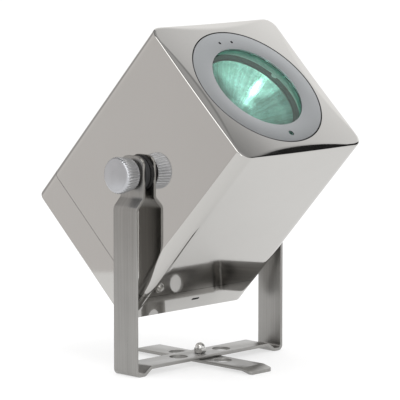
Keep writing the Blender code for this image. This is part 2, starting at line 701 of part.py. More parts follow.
def make_light_source(head):
    board_bottom = SINK_TOP + GAP
    board_top = board_bottom + LED_BOARD_THICKNESS
    board = [(0, board_bottom), (LED_BOARD_RADIUS, board_bottom),
             (LED_BOARD_RADIUS, board_top), (0, board_top)]
    place(turned("led_board", board, "circuit_board", 32), head)
    bottom = board_top + GAP
    top = bottom + EMITTER_THICKNESS
    emitter = [(0, bottom), (EMITTER_RADIUS, bottom), (EMITTER_RADIUS, top - EMITTER_CHAMFER),
               (EMITTER_RADIUS - EMITTER_CHAMFER, top), (0, top)]
    place(turned("led_emitter", emitter, "phosphor", 24), head)


def make_heat_sink(head):
    """A plate with straight fins, trimmed round, and the ring that holds it in the can."""
    bottom = SINK_TOP - SINK_PLATE
    end = bottom - SINK_FIN_HEIGHT
    edge = CAN_INNER_RADIUS - GAP
    half = SINK_FIN_THICKNESS / 2
    comb = [(-edge, SINK_TOP), (-edge, bottom)]
    for fin in range(SINK_FIN_COUNT):
        middle = (fin - (SINK_FIN_COUNT - 1) / 2) * SINK_FIN_PITCH
        comb += [(middle - half, bottom), (middle - half, end), (middle + half, end),
                 (middle + half, bottom)]
    comb += [(edge, bottom), (edge, SINK_TOP)]
    sink = place(extruded("heat_sink", comb, -edge, edge, "cast_aluminium", "Y"), head)
    fin_edge = SINK_RING_INNER_RADIUS - GAP
    envelope = [(0, SINK_TOP + MARGIN), (edge, SINK_TOP + MARGIN), (edge, bottom),
                (fin_edge, bottom), (fin_edge, end - MARGIN), (0, end - MARGIN)]
    combine(sink, place(turned("heat_sink_trim", envelope), head), "INTERSECT")
    top = bottom - GAP
    ring = [(SINK_RING_INNER_RADIUS, top), (edge, top), (edge, top - SINK_RING_THICKNESS),
            (SINK_RING_INNER_RADIUS, top - SINK_RING_THICKNESS)]
    place(turned("sink_retaining_ring", ring, "brushed_steel"), head)


# ---------------------------------------------------------------- head: lamp can


def make_lamp_can(head):
    flange_rear = CAN_FLANGE_FRONT - CAN_FLANGE_THICKNESS
    shelf_bottom = SHELF_TOP - CAN_SHELF_THICKNESS
    profile = [
        (CAN_COLLAR_RADIUS, CAN_COLLAR_TOP), (CAN_COLLAR_RADIUS, CAN_FLANGE_FRONT),
        (CAN_FLANGE_RADIUS, CAN_FLANGE_FRONT), (CAN_FLANGE_RADIUS, flange_rear),
        (CAN_RADIUS, flange_rear), (CAN_RADIUS, CAN_REAR), (CAN_INNER_RADIUS, CAN_REAR),
        (CAN_INNER_RADIUS, shelf_bottom - CAN_SHELF_TAPER), (CAN_SHELF_RADIUS, shelf_bottom),
        (CAN_SHELF_RADIUS, SHELF_TOP), (CAN_BORE_RADIUS, SHELF_TOP),
        (CAN_BORE_RADIUS, CAN_COLLAR_TOP),
    ]
    can = place(turned("lamp_can", profile, "cast_aluminium"), head)
    for x, y in front_stud_places():
        drill(can, FRONT_STUD_RADIUS + GAP, flange_rear - MARGIN, CAN_FLANGE_FRONT + MARGIN,
              (x, y, 0), "Z", head, 12)
    return can


def front_stud_places():
    return corner_places(STUD_CIRCLE_RADIUS / math.sqrt(2))


def make_front_fixings(head):
    """Studs welded behind the front panel, with a shoulder for the can's flange, and their nuts."""
    shoulder = CAN_FLANGE_FRONT + GAP
    profile = [
        (0, PANEL_BACK - GAP), (FRONT_STUD_SHOULDER_RADIUS, PANEL_BACK - GAP),
        (FRONT_STUD_SHOULDER_RADIUS, shoulder), (FRONT_STUD_RADIUS, shoulder),
        (FRONT_STUD_RADIUS, FRONT_STUD_END), (0, FRONT_STUD_END),
    ]
    top = CAN_FLANGE_FRONT - CAN_FLANGE_THICKNESS - GAP
    for number, (x, y) in enumerate(front_stud_places(), start=1):
        place(turned(f"front_stud_{number}", profile, "bright_fastener", 12), head, (x, y, 0))
        nut = extruded(f"front_nut_{number}", hexagon(FRONT_NUT_FLATS),
                       top - FRONT_NUT_THICKNESS, top, "bright_fastener")
        place(nut, head, (x, y, 0))
        drill(nut, FRONT_STUD_RADIUS + GAP, top - FRONT_NUT_THICKNESS - MARGIN, top + MARGIN,
              (x, y, 0), "Z", head, 12)


def make_can_cap(head):
    """The can's threaded rear cap, grooved for its sealing ring, bored for the cable gland."""
    bore = GLAND_THREAD_RADIUS + GAP
    face = CAN_REAR - GAP
    spigot = CAN_SPIGOT_RADIUS
    groove = spigot - 2 * CAN_RING_TUBE
    middle = face + CAN_CAP_SPIGOT / 2
    half = CAN_RING_TUBE + GAP
    profile = [
        (bore, face - CAN_CAP_THICKNESS), (CAN_RADIUS, face - CAN_CAP_THICKNESS),
        (CAN_RADIUS, face), (spigot, face),
        (spigot, middle - half), (groove, middle - half), (groove, middle + half),
        (spigot, middle + half), (spigot, face + CAN_CAP_SPIGOT),
        (bore, face + CAN_CAP_SPIGOT),
    ]
    place(turned("can_rear_cap", profile, "cast_aluminium"), head)
    centre = (groove + GAP + CAN_RING_TUBE, middle)
    ring = arc_points(centre, CAN_RING_TUBE, 0, 2 * math.pi * 5 / 6, 5)
    place(turned("can_sealing_ring", ring, "black_rubber"), head)


def make_driver(head):
    width, depth, height = DRIVER_SIZE
    outline = rounded_rectangle(width / 2, depth / 2, DRIVER_CORNER, 3)
    front = DRIVER_FRONT
    place(extruded("driver_module", outline, front - height, front, "black_plastic"), head)
    block_width, block_depth, block_height = TERMINAL_SIZE
    block = rounded_rectangle(block_width / 2, block_depth / 2, TERMINAL_CORNER, 3)
    start = front + GAP
    terminal = extruded("terminal_block", block, start, start + block_height, "black_plastic")
    place(terminal, head)
    plate_top = front - height - GAP
    plate_bottom = plate_top - TRAY_SHEET
    hub_end = CAN_REAR + CAN_CAP_SPIGOT
    tray = [
        (TRAY_HOLE_RADIUS, plate_top), (TRAY_RADIUS, plate_top), (TRAY_RADIUS, plate_bottom),
        (TRAY_HUB_RADIUS, plate_bottom), (TRAY_HUB_RADIUS, hub_end),
        (TRAY_HUB_RADIUS - TRAY_SHEET, hub_end), (TRAY_HUB_RADIUS - TRAY_SHEET, plate_bottom),
        (TRAY_HOLE_RADIUS, plate_bottom),
    ]
    place(turned("driver_tray", tray, "cast_aluminium", 24), head)


# ---------------------------------------------------------------- cable glands


def make_gland(head, prefix, wall_front, wall_rear):
    """A compression gland through a wall: a locknut inside, its body outside, a seal and a nut."""
    seat = wall_rear - GAP
    hex_end = seat - GLAND_HEX
    body_end = hex_end - GLAND_THREAD_LENGTH
    inner_end = wall_front + GLAND_THREAD_END
    thread_hole = GLAND_THREAD_RADIUS + GAP
    body = extruded(f"{prefix}_gland_body", hexagon(GLAND_FLATS), hex_end, seat, "nickel_brass")
    place(body, head)
    tube = [(GLAND_BORE_RADIUS, body_end), (GLAND_THREAD_RADIUS, body_end),
            (GLAND_THREAD_RADIUS, inner_end), (GLAND_BORE_RADIUS, inner_end)]
    combine(body, place(turned(f"{prefix}_gland_tube", tube, steps=24), head), "UNION")
    drill(body, GLAND_BORE_RADIUS, body_end - MARGIN, inner_end + MARGIN, parent=head, steps=24)

    lock_front = wall_front + GAP
    locknut = extruded(f"{prefix}_gland_locknut", hexagon(GLAND_FLATS), lock_front,
                       lock_front + GLAND_LOCKNUT, "nickel_brass")
    place(locknut, head)
    drill(locknut, thread_hole, lock_front - MARGIN, inner_end + MARGIN, parent=head, steps=24)

    nut_start = hex_end - GAP
    nut_end = nut_start - GLAND_NUT
    mouth = CABLE_HOLE_RADIUS + GAP
    seal_end = body_end - GAP
    nut = [
        (thread_hole, nut_start), (GLAND_NUT_RADIUS, nut_start),
        (GLAND_NUT_RADIUS, nut_end + GLAND_NUT_ROUNDING),
        (GLAND_NUT_RADIUS - GLAND_NUT_ROUNDING, nut_end), (mouth, nut_end),
        (mouth, seal_end - GAP), (thread_hole, seal_end - GAP),
    ]
    place(turned(f"{prefix}_gland_nut", nut, "nickel_brass", SMALL_STEPS), head)
    seal_start = body_end + GLAND_SEAL_DEPTH
    edge = GLAND_BORE_RADIUS - GAP
    seal = [(CABLE_HOLE_RADIUS, seal_start), (edge, seal_start), (edge, seal_end),
            (CABLE_HOLE_RADIUS, seal_end)]
    place(turned(f"{prefix}_gland_seal", seal, "black_rubber", SMALL_STEPS), head)


# ---------------------------------------------------------------- tilt pivots and knobs


def make_pivot(stand, head, side, sign):
    """Boss, stud and friction washer on the head, thrust washer and knob outside the arm."""
    outwards = (0, sign * math.pi / 2, 0)
    boss_end = HEAD_HALF - SHEET - GAP
    boss_start = boss_end - BOSS_THICKNESS
    boss = [(STUD_HOLE_RADIUS, boss_start), (BOSS_RADIUS, boss_start), (BOSS_RADIUS, boss_end),
            (STUD_HOLE_RADIUS, boss_end)]
    place(turned(f"pivot_boss_{side}", boss, "brushed_steel", 24), head, rotation=outwards)
    seat = boss_start - GAP
    stud = [(0, seat - STUD_HEAD), (STUD_HEAD_RADIUS, seat - STUD_HEAD), (STUD_HEAD_RADIUS, seat),
            (STUD_RADIUS, seat), (STUD_RADIUS, STUD_END - STUD_CHAMFER),
            (STUD_RADIUS - STUD_CHAMFER, STUD_END), (0, STUD_END)]
    place(turned(f"pivot_stud_{side}", stud, "bright_fastener", SMALL_STEPS), head, rotation=outwards)
    start = HEAD_HALF + GAP
    end = ARM_INNER - GAP
    washer = [(ARM_HOLE_RADIUS, start), (WASHER_RADIUS, start), (WASHER_RADIUS, end),
              (ARM_HOLE_RADIUS, end)]
    place(turned(f"friction_washer_{side}", washer, "black_rubber", 32), head, rotation=outwards)

    knob_axis = add_empty(f"knob_axis_{side}", (0, 0, PIVOT_HEIGHT), parent=stand)
    thrust_start = ARM_INNER + STRIP + GAP
    thrust_end = thrust_start + THRUST_THICKNESS
    thrust = [(ARM_HOLE_RADIUS, thrust_start), (THRUST_RADIUS, thrust_start),
              (THRUST_RADIUS, thrust_end), (ARM_HOLE_RADIUS, thrust_end)]
    place(turned(f"thrust_washer_{side}", thrust, "bright_fastener", SMALL_STEPS), knob_axis,
          rotation=outwards)
    make_knob(f"knob_{side}", thrust_end + GAP, knob_axis, outwards)


def fluted_ring(radius, depth, along):
    """A closed ring of points whose radius dips once for each flute."""
    points = []
    count = 2 * KNOB_FLUTES             # a crest and a dip for each flute
    for step in range(count):
        angle = 2 * math.pi * step / count
        reach = radius - (depth if step % 2 else 0.0)
        points.append((reach * math.cos(angle), reach * math.sin(angle), along))
    return points


def make_knob(name, hub_start, parent, outwards):
    face = KNOB_RADIUS - KNOB_ROUNDING
    rounding = []
    for degrees in (35, 70):
        angle = math.radians(degrees)
        rounding.append(fluted_ring(face + KNOB_ROUNDING * math.cos(angle), 0.0,
                                    KNOB_GRIP_END + KNOB_ROUNDING * math.sin(angle)))
    crown = []
    for share in KNOB_CROWN_RINGS:
        drop = share ** 2 * (KNOB_CROWN - KNOB_GRIP_END - KNOB_ROUNDING)
        crown.append(fluted_ring(face * share, 0.0, KNOB_CROWN - drop))
    sections = [
        fluted_ring(KNOB_HUB_RADIUS, 0.0, hub_start),
        fluted_ring(KNOB_HUB_RADIUS, 0.0, KNOB_INNER_RIM),
        fluted_ring(KNOB_INNER_RADIUS - KNOB_CHAMFER, 0.0, KNOB_INNER_RIM),
        fluted_ring(KNOB_INNER_RADIUS, KNOB_FLUTE_DEPTH, KNOB_INNER_RIM + KNOB_CHAMFER),
        fluted_ring(KNOB_RADIUS, KNOB_FLUTE_DEPTH, KNOB_GRIP_END),
    ] + rounding + crown[::-1]
    knob = place(stacked(name, sections, "knob_steel"), parent, rotation=outwards)
    tool = turned(f"{name}_thread", [(0, hub_start - MARGIN), (STUD_HOLE_RADIUS, hub_start - MARGIN),
                                     (STUD_HOLE_RADIUS, KNOB_BORE_END), (0, KNOB_BORE_END)],
                  steps=SMALL_STEPS)
    return combine(knob, place(tool, parent, rotation=outwards))


def main():
    clear_scene()
    stand = add_empty("stand_frame", (0, PIVOT_Y, 0))
    make_stand(stand)
    make_centre_bolt(stand)
    make_cap_nut(stand)
    swivel = add_empty("cross_strap_axis", (0, 0, 0), parent=stand)
    make_cross_strap(swivel)

    tilt = math.pi / 2 - BEAM_ELEVATION
    head = add_empty("head_axis", (0, 0, PIVOT_HEIGHT), (tilt, 0, 0), stand)
    make_housing_shell(head)
    make_rear_cover(head)
    make_seam_sleeve(head)
    make_cover_fixings(head)
    make_bezel_ring(head)
    make_lock_screw(head)
    make_glass(head)
    make_front_gasket(head)
    make_seat_seal(head)
    make_dowel(head)
    make_reflector(head)
    make_reflector_holder(head)
    make_light_source(head)
    make_heat_sink(head)
    make_lamp_can(head)
    make_front_fixings(head)
    make_can_cap(head)
    make_driver(head)
    make_gland(head, "can", CAN_REAR - GAP + CAN_CAP_SPIGOT, CAN_REAR - GAP - CAN_CAP_THICKNESS)
    make_gland(head, "cover", COVER_INSIDE, -HEAD_REAR)
    for side, sign in (("left", -1), ("right", 1)):
        make_pivot(stand, head, side, sign)


main()
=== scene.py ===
"""Looks for the underwater pond light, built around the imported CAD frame.

Pieces of the head are modelled along the beam: local +Z is the way the light shines, local X is
the tilt axis, and the tilt axis passes through the local origin. Units are metres."""

import json
import math

import bmesh
import bpy
from mathutils import Matrix, Vector


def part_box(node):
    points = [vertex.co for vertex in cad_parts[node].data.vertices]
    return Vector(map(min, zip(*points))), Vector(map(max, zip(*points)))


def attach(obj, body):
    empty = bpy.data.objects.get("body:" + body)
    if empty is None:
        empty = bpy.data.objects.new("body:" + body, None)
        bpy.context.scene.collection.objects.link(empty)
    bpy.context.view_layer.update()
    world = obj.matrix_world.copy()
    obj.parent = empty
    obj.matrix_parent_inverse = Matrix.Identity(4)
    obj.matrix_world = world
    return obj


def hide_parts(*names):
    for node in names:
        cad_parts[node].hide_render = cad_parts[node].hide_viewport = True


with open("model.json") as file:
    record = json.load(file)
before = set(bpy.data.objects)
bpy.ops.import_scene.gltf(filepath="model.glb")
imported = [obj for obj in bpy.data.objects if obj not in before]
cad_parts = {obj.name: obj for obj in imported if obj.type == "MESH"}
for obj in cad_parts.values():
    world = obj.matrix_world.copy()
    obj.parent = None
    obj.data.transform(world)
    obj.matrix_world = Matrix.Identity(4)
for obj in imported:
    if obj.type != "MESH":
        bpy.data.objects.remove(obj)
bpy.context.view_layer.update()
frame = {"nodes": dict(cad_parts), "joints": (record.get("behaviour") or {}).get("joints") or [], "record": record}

# ------ places from the frame

BEAM_ELEVATION = math.radians(47)
STRAP_LOW, STRAP_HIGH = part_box("u_bracket")
CENTRE_Y = (STRAP_LOW.y + STRAP_HIGH.y) / 2
JOINTS = {joint["name"]: joint for joint in frame["joints"]}
PIVOT_HEIGHT = JOINTS["head_tilt"]["pos_m"][2]
STAND = Matrix.Translation((0, CENTRE_Y, 0))
PIVOT = Matrix.Translation((0, CENTRE_Y, PIVOT_HEIGHT))
HEAD = PIVOT @ Matrix.Rotation(math.pi / 2 - BEAM_ELEVATION, 4, "X")
SIDES = {"left": -1, "right": 1}


def local_box(node, place=HEAD):
    """Lowest and highest corner of a CAD node in the coordinates of a place."""
    back = place.inverted()
    points = [back @ vertex.co for vertex in frame["nodes"][node].data.vertices]
    low = Vector(min(point[axis] for point in points) for axis in range(3))
    high = Vector(max(point[axis] for point in points) for axis in range(3))
    return low, high


def outwards(sign):
    """The place whose local +Z runs out along the tilt axis, to the left or the right."""
    return PIVOT @ Matrix.Rotation(sign * math.pi / 2, 4, "Y")


def moved(place, x=0.0, y=0.0, z=0.0):
    return place @ Matrix.Translation((x, y, z))


# ------ sizes that several pieces share

SHEET = 0.0015
EDGE_RADIUS = 0.012
FOLD_RADIUS = 0.0015
STRIP = 0.003
GAP = 0.0003
MARGIN = 0.002  # how far a cutter stands out past the piece
THREAD_BORE = 0.0033  # clearance for the centre bolt

# ------ outlines


def arc(centre, radius, start, end, steps):
    return [
        (centre[0] + radius * math.cos(start + (end - start) * step / steps),
         centre[1] + radius * math.sin(start + (end - start) * step / steps))
        for step in range(steps + 1)
    ]


def circle(radius, steps):
    return arc((0, 0), radius, 0, 2 * math.pi * (steps - 1) / steps, steps - 1)


def hexagon(flats):
    return circle(flats / math.sqrt(3), 6)


def polar_ring(reaches, along):
    """A ring with one point for each reach from the axis, at even turns."""
    turns = [2 * math.pi * step / len(reaches) for step in range(len(reaches))]
    return [(reach * math.cos(turn), reach * math.sin(turn), along)
            for reach, turn in zip(reaches, turns)]


def rounded(points, radius, steps=3, closed=True):
    """A line of points whose corners are rounded, as far as their neighbours leave room."""
    count = len(points)
    radii = radius if isinstance(radius, (list, tuple)) else [radius] * count
    result = []
    for index, corner in enumerate(points):
        if radii[index] <= 0 or (not closed and index in (0, count - 1)):
            result.append(tuple(corner))
            continue
        corner = Vector(corner)
        back = Vector(points[index - 1]) - corner
        ahead = Vector(points[(index + 1) % count]) - corner
        half_angle = math.acos(max(-1.0, min(1.0, back.normalized().dot(ahead.normalized())))) / 2
        if half_angle > math.radians(89.5):
            result.append(tuple(corner))
            continue
        room = 0.49 * min(back.length, ahead.length)
        reach = min(radii[index] / math.tan(half_angle), room)
        bend = reach * math.tan(half_angle)
        middle = (back.normalized() + ahead.normalized()).normalized()
        centre = corner + middle * bend / math.sin(half_angle)
        start = corner + back.normalized() * reach - centre
        turn = (math.pi - 2 * half_angle) * (-1 if back.cross(ahead) > 0 else 1)
        for step in range(steps + 1):
            spun = start.copy()
            spun.rotate(Matrix.Rotation(turn * step / steps, 2))
            result.append(tuple(centre + spun))
    return result


def section(inner, outer, low, high):
    """A turned body's square-cut outline."""
    return [(inner, low), (outer, low), (outer, high), (inner, high)]


def bent_strip(corners, radii, thickness, steps=10):
    """The outline of a strip that follows a line of corners, each bent to its own radius."""
    line = rounded(corners, [0] + list(radii) + [0], steps, closed=False)
    left, right = [], []
    for index, point in enumerate(line):
        ahead = Vector(line[min(index + 1, len(line) - 1)])
        forward = ahead - Vector(line[max(index - 1, 0)])
        normal = Vector((-forward.y, forward.x)).normalized() * thickness / 2
        left.append(tuple(Vector(point) + normal))
        right.append(tuple(Vector(point) - normal))
    return left + right[::-1]


# ------ meshes

SMOOTH_ANGLE = math.radians(30)


def add_object(name, data):
    made = bpy.data.objects.new(name, data)
    bpy.context.scene.collection.objects.link(made)
    return made


def shade(piece, angle=SMOOTH_ANGLE):
    piece.data.shade_smooth()
    piece.data.set_sharp_from_angle(angle=angle)
    return piece


def add_piece(name, builder, place, angle=SMOOTH_ANGLE):
    bmesh.ops.recalc_face_normals(builder, faces=builder.faces)
    mesh = bpy.data.meshes.new(name)
    builder.to_mesh(mesh)
    builder.free()
    piece = add_object(name, mesh)
    piece.matrix_world = place
    return shade(piece, angle)


def turned(name, profile, place, steps=96, angle=SMOOTH_ANGLE):
    """A body turned about local +Z from a closed outline of (radius, height) points."""
    builder = bmesh.new()
    rings = []
    for radius, height in profile:
        if radius < 1e-6:
            rings.append([builder.verts.new((0, 0, height))])
        else:
            rings.append([builder.verts.new((x, y, height)) for x, y in circle(radius, steps)])
    for first, second in zip(rings, rings[1:] + rings[:1]):
        if len(first) == len(second) == 1:
            continue
        for step in range(steps):
            after = (step + 1) % steps
            corners = [first[step % len(first)], first[after % len(first)],
                       second[after % len(second)], second[step % len(second)]]
            builder.faces.new(list(dict.fromkeys(corners)))
    return add_piece(name, builder, place, angle)


def stacked(name, rings, place, closed=False):
    """A skin through rings of equal counts of (x, y, z) points, capped or joined end to end."""
    builder = bmesh.new()
    made = [[builder.verts.new(point) for point in ring] for ring in rings]
    pairs = list(zip(made, made[1:]))
    if closed:
        pairs.append((made[-1], made[0]))
    for lower, upper in pairs:
        for step in range(len(lower)):
            after = (step + 1) % len(lower)
            builder.faces.new((lower[step], lower[after], upper[after], upper[step]))
    if not closed:
        builder.faces.new(made[0])
        builder.faces.new(made[-1])
    return add_piece(name, builder, place)


def extruded(name, outline, start, end, place, axis="Z"):
    """A prism of an outline. Axis Z takes (x, y) points, Y takes (x, z) and X takes (y, z)."""
    spot = "XYZ".index(axis)
    rings = [[(*point[:spot], along, *point[spot:]) for point in map(tuple, outline)]
             for along in (start, end)]
    return stacked(name, rings, place)


def settle(piece):
    """Applies a piece's modifiers."""
    bpy.context.view_layer.update()
    shape = piece.evaluated_get(bpy.context.evaluated_depsgraph_get())
    mesh = bpy.data.meshes.new_from_object(shape)
    piece.modifiers.clear()
    piece.data = mesh
    return piece


def combine(piece, tools, operation="DIFFERENCE"):
    """Cuts, joins or trims a piece by tools, which are then removed, and shades it again."""
    for tool in tools:
        modifier = piece.modifiers.new(tool.name, "BOOLEAN")
        modifier.operation = operation
        modifier.solver = "EXACT"
        modifier.object = tool
    settle(piece)
    for tool in tools:
        bpy.data.objects.remove(tool, do_unlink=True)
    return shade(piece)


def soften(piece, width):
    """Breaks the sharp edges with a small bevel."""
    modifier = piece.modifiers.new("broken_edges", "BEVEL")
    modifier.width = width
    modifier.segments = 2
    modifier.limit_method = "ANGLE"
    modifier.angle_limit = SMOOTH_ANGLE
    modifier.use_clamp_overlap = True
    settle(piece)
    return shade(piece, math.radians(50))


def to_frame(piece):
    """Moves a tilted piece's points into the frame, so that its bounds stay tight."""
    piece.data.transform(piece.matrix_world)
    piece.matrix_world = Matrix.Identity(4)
    return piece


def cutter(radius, start, end, place, break_width=0.0, steps=48):
    """A round drill from start to end, wider at both ends where the hole's edges are broken."""
    if not break_width:
        return turned("cutter", section(0, radius, start, end), place, steps)
    wide = radius + break_width + MARGIN
    profile = [(0, start - MARGIN), (wide, start - MARGIN), (radius, start + break_width),
               (radius, end - break_width), (wide, end + MARGIN), (0, end + MARGIN)]
    return turned("cutter", profile, place, steps)


# ------ material nodes


def add_node(tree, kind, inputs=None, **settings):
    """A node whose inputs are linked to the sockets given, or set to the values given."""
    made = tree.nodes.new(kind)
    for setting, value in settings.items():
        setattr(made, setting, value)
    for socket, value in (inputs or {}).items():
        if isinstance(value, bpy.types.NodeSocket):
            tree.links.new(value, made.inputs[socket])
        else:
            made.inputs[socket].default_value = value
    return made


class Look:
    """A Principled material whose colour, roughness and relief are fed by procedural nodes."""

    def __init__(self, name, colour, roughness, metallic=0.0, **sockets):
        self.material = bpy.data.materials.new(name)
        self.material.use_nodes = True
        self.tree = self.material.node_tree
        self.shader = self.tree.nodes["Principled BSDF"]
        self.colour = colour
        self.set("Base Color", (*colour, 1.0))
        self.set("Roughness", roughness)
        self.set("Metallic", metallic)
        for socket, value in sockets.items():
            self.set(socket.replace("_", " "), value)
        self.place = self.node("ShaderNodeTexCoord").outputs["Object"]

    def set(self, socket, value):
        self.shader.inputs[socket].default_value = value

    def node(self, kind, inputs=None, **settings):
        return add_node(self.tree, kind, inputs, **settings)

    def link(self, output, socket):
        self.tree.links.new(output, self.shader.inputs[socket])

    def noise(self, scale, stretch=(1, 1, 1), detail=3.0, place=None):
        """Noise whose grain is finer along the axes that are stretched more."""
        moved = self.node("ShaderNodeVectorMath", {0: place or self.place, 1: stretch},
                          operation="MULTIPLY")
        return self.node("ShaderNodeTexNoise", {
            "Vector": moved.outputs["Vector"], "Scale": scale, "Detail": detail,
        }).outputs["Fac"]

    def spread(self, value, low, high, start=0.3, end=0.7):
        return self.node("ShaderNodeMapRange", {
            "Value": value, "From Min": start, "From Max": end, "To Min": low, "To Max": high,
        }).outputs["Result"]

    def math(self, operation, first, second):
        return self.node("ShaderNodeMath", {0: first, 1: second}, operation=operation).outputs[0]

    def product(self, first, second):
        return self.math("MULTIPLY", first, second)

    def total(self, first, second):
        return self.math("ADD", first, second)

    def blend(self, first, second, share):
        """A share of the first and the rest of the second."""
        return self.total(self.product(first, share), self.product(second, 1 - share))

    def tint(self, factor, darker=0.9, lighter=1.1):
        """The base colour, varied between a darker and a lighter shade of itself."""
        shades = [(*(min(1.0, part * share) for part in self.colour), 1.0)
                  for share in (darker, lighter)]
        mix = self.node("ShaderNodeMix", {0: factor, 6: shades[0], 7: shades[1]}, data_type="RGBA")
        self.link(mix.outputs[2], "Base Color")

    def roughen(self, value, *limits):
        self.link(self.spread(value, *limits), "Roughness")

    def relief(self, height, strength, distance):
        bump = self.node("ShaderNodeBump", {
            "Height": height, "Strength": strength, "Distance": distance,
        })
        self.link(bump.outputs["Normal"], "Normal")

    def edges(self):
        """0 on flat ground, rising to 1 along outer edges, where handling wears the finish."""
        ground = self.node("ShaderNodeNewGeometry").outputs["Pointiness"]
        return self.spread(ground, 0.0, 1.0, 0.52, 0.60)


def polished_steel():
    """Mirror-polished sheet: faint polishing lines along the beam and a soft clouding."""
    look = Look("polished_steel", (0.505, 0.495, 0.478), 0.07, 1.0)
    lines = look.noise(30.0, (60, 60, 2.0), 2.0)
    cloud = look.noise(14.0, detail=2.0)
    smear = look.noise(60.0, (1, 1, 0.3), 3.0)
    look.tint(look.blend(lines, cloud, 0.35), 0.965, 1.035)
    look.roughen(look.blend(smear, lines, 0.5), 0.03, 0.07)
    look.relief(lines, 0.04, 0.0001)
    return look.material


def brushed_bar(name, across, worn):
    """Flat bar with hairs along its length: across is the number of the local axis that they are
    fine along. Worn bar is smoother on its edges."""
    look = Look(name, (0.305, 0.299, 0.288), 0.34, 1.0, Anisotropic=0.4)

    def hairs(fine, along):
        return [fine if axis == across else along for axis in range(3)]

    fibres = look.noise(8.0, hairs(260, 1.5), 4.0)
    streaks = look.noise(5.0, hairs(110, 1.0), 3.0)
    cloud = look.noise(22.0, detail=3.0)
    grain = look.blend(fibres, streaks, 0.5)
    look.tint(look.spread(look.blend(grain, cloud, 0.75), 0.0, 1.0, 0.35, 0.65), 0.84, 1.14)
    rough = look.spread(grain, 0.28, 0.42)
    if worn:
        rough = look.math("SUBTRACT", rough, look.product(look.edges(), 0.1))
    look.link(rough, "Roughness")
    look.relief(grain, 0.25, 0.0002)
    return look.material


def clouded(name, colour, roughness, metallic, grain, cloud, share, shades, rough, relief):
    """A look with a grain for its relief and a cloud for its roughness, or the grain for both.
    Each is noise as (scale, stretch, detail), and share is the grain's part of the tint."""
    look = Look(name, colour, roughness, metallic)
    grain = look.noise(*grain)
    cloud = look.noise(*cloud) if cloud else grain
    look.tint(look.blend(grain, cloud, share), *shades)
    look.roughen(cloud, *rough)
    look.relief(grain, *relief)
    return look.material


def turned_steel(name, colour, roughness):
    """Metal turned on a lathe about local Z: very fine rings under a soft cloud."""
    look = Look(name, colour, roughness, 1.0)
    flat = look.node("ShaderNodeVectorMath", {0: look.place, 1: (1, 1, 0)}, operation="MULTIPLY")
    reach = look.node("ShaderNodeVectorMath", {0: flat.outputs["Vector"]}, operation="LENGTH")
    ring_place = look.node("ShaderNodeCombineXYZ", {"X": reach.outputs["Value"]}).outputs[0]
    fine = look.noise(2200.0, detail=2.0, place=ring_place)
    cloud = look.noise(70.0, detail=3.0)
    tone = look.blend(fine, cloud, 0.6)
    look.tint(look.spread(tone, 0.0, 1.0), 0.90, 1.08)
    look.roughen(tone, roughness * 0.85, roughness * 1.2)
    look.relief(fine, 0.15, 0.00005)
    return look.material


def rubber(name, colour, roughness):
    look = Look(name, colour, roughness)
    look.set("Specular IOR Level", 0.35)
    grain = look.noise(1400.0, detail=3.0)
    dust = look.noise(90.0, detail=4.0)
    look.tint(look.spread(dust, 0.0, 1.0), 0.8, 1.6)
    look.roughen(dust, roughness * 0.85, min(1.0, roughness * 1.1))
    look.relief(grain, 0.3, 0.00012)
    return look.material


def green_glass():
    """Thick float glass: clear, with the green tint that its depth gives."""
    look = Look("green_glass", (1.0, 1.0, 1.0), 0.0)
    look.set("Transmission Weight", 1.0)
    look.set("IOR", 1.5)
    smears = look.noise(45.0, (1, 1.6, 1), 4.0)
    look.roughen(smears, 0.0, 0.03, 0.45, 0.75)
    ripple = look.noise(25.0, detail=1.0)
    look.relief(ripple, 0.05, 0.0002)
    depth = look.node("ShaderNodeVolumeAbsorption", {
        "Color": (0.113, 0.793, 0.58, 1.0), "Density": 15.0,
    })
    output = look.tree.nodes["Material Output"]
    look.tree.links.new(depth.outputs["Volume"], output.inputs["Volume"])
    return look.material


def reflector_mirror():
    """Bright anodised dish with faint rays from its neck and a soft mottle."""
    look = Look("reflector_mirror", (0.58, 0.85, 0.745), 0.22, 1.0)
    angle = look.node("ShaderNodeTexGradient", {"Vector": look.place}, gradient_type="RADIAL")
    turn = look.node("ShaderNodeCombineXYZ", {"X": angle.outputs["Fac"]}).outputs[0]
    rays = look.noise(70.0, detail=2.0, place=turn)
    mottle = look.noise(55.0, detail=3.0)
    speckle = look.noise(420.0, detail=3.0)
    marks = look.total(look.product(rays, 0.35), look.product(mottle, 0.40))
    marks = look.total(marks, look.product(speckle, 0.25))
    look.tint(look.spread(marks, 0.0, 1.0, 0.38, 0.62), 0.62, 1.35)
    look.roughen(mottle, 0.16, 0.28)
    look.relief(marks, 0.22, 0.0008)
    return look.material


def circuit_board():
    look = Look("circuit_board", (0.05, 0.25, 0.12), 0.4)
    tracks = look.node("ShaderNodeTexVoronoi", {"Vector": look.place, "Scale": 260.0},
                       feature="DISTANCE_TO_EDGE").outputs["Distance"]
    look.tint(look.spread(tracks, 0.0, 1.0, 0.0, 0.12), 1.5, 0.9)
    look.roughen(tracks, 0.3, 0.45, 0.0, 0.2)
    look.relief(look.spread(tracks, 1.0, 0.0, 0.0, 0.1), 0.2, 0.00005)
    return look.material


LOOKS = {
    "mirror_steel": polished_steel(),
    "brushed_steel": brushed_bar("brushed_bar", 1, worn=True),
    "knob_steel": turned_steel("knob_steel", (0.455, 0.462, 0.48), 0.30),
    "black_rubber": rubber("black_rubber", (0.02, 0.02, 0.021), 0.7),
    "dark_seal": rubber("dark_seal", (0.055, 0.085, 0.075), 0.6),
    "green_glass": green_glass(),
    "reflector_mirror": reflector_mirror(),
    "circuit_board": circuit_board(),
    "nickel_brass": turned_steel("nickel_brass", (0.56, 0.54, 0.50), 0.24),
}
EVEN = (1, 1, 1)
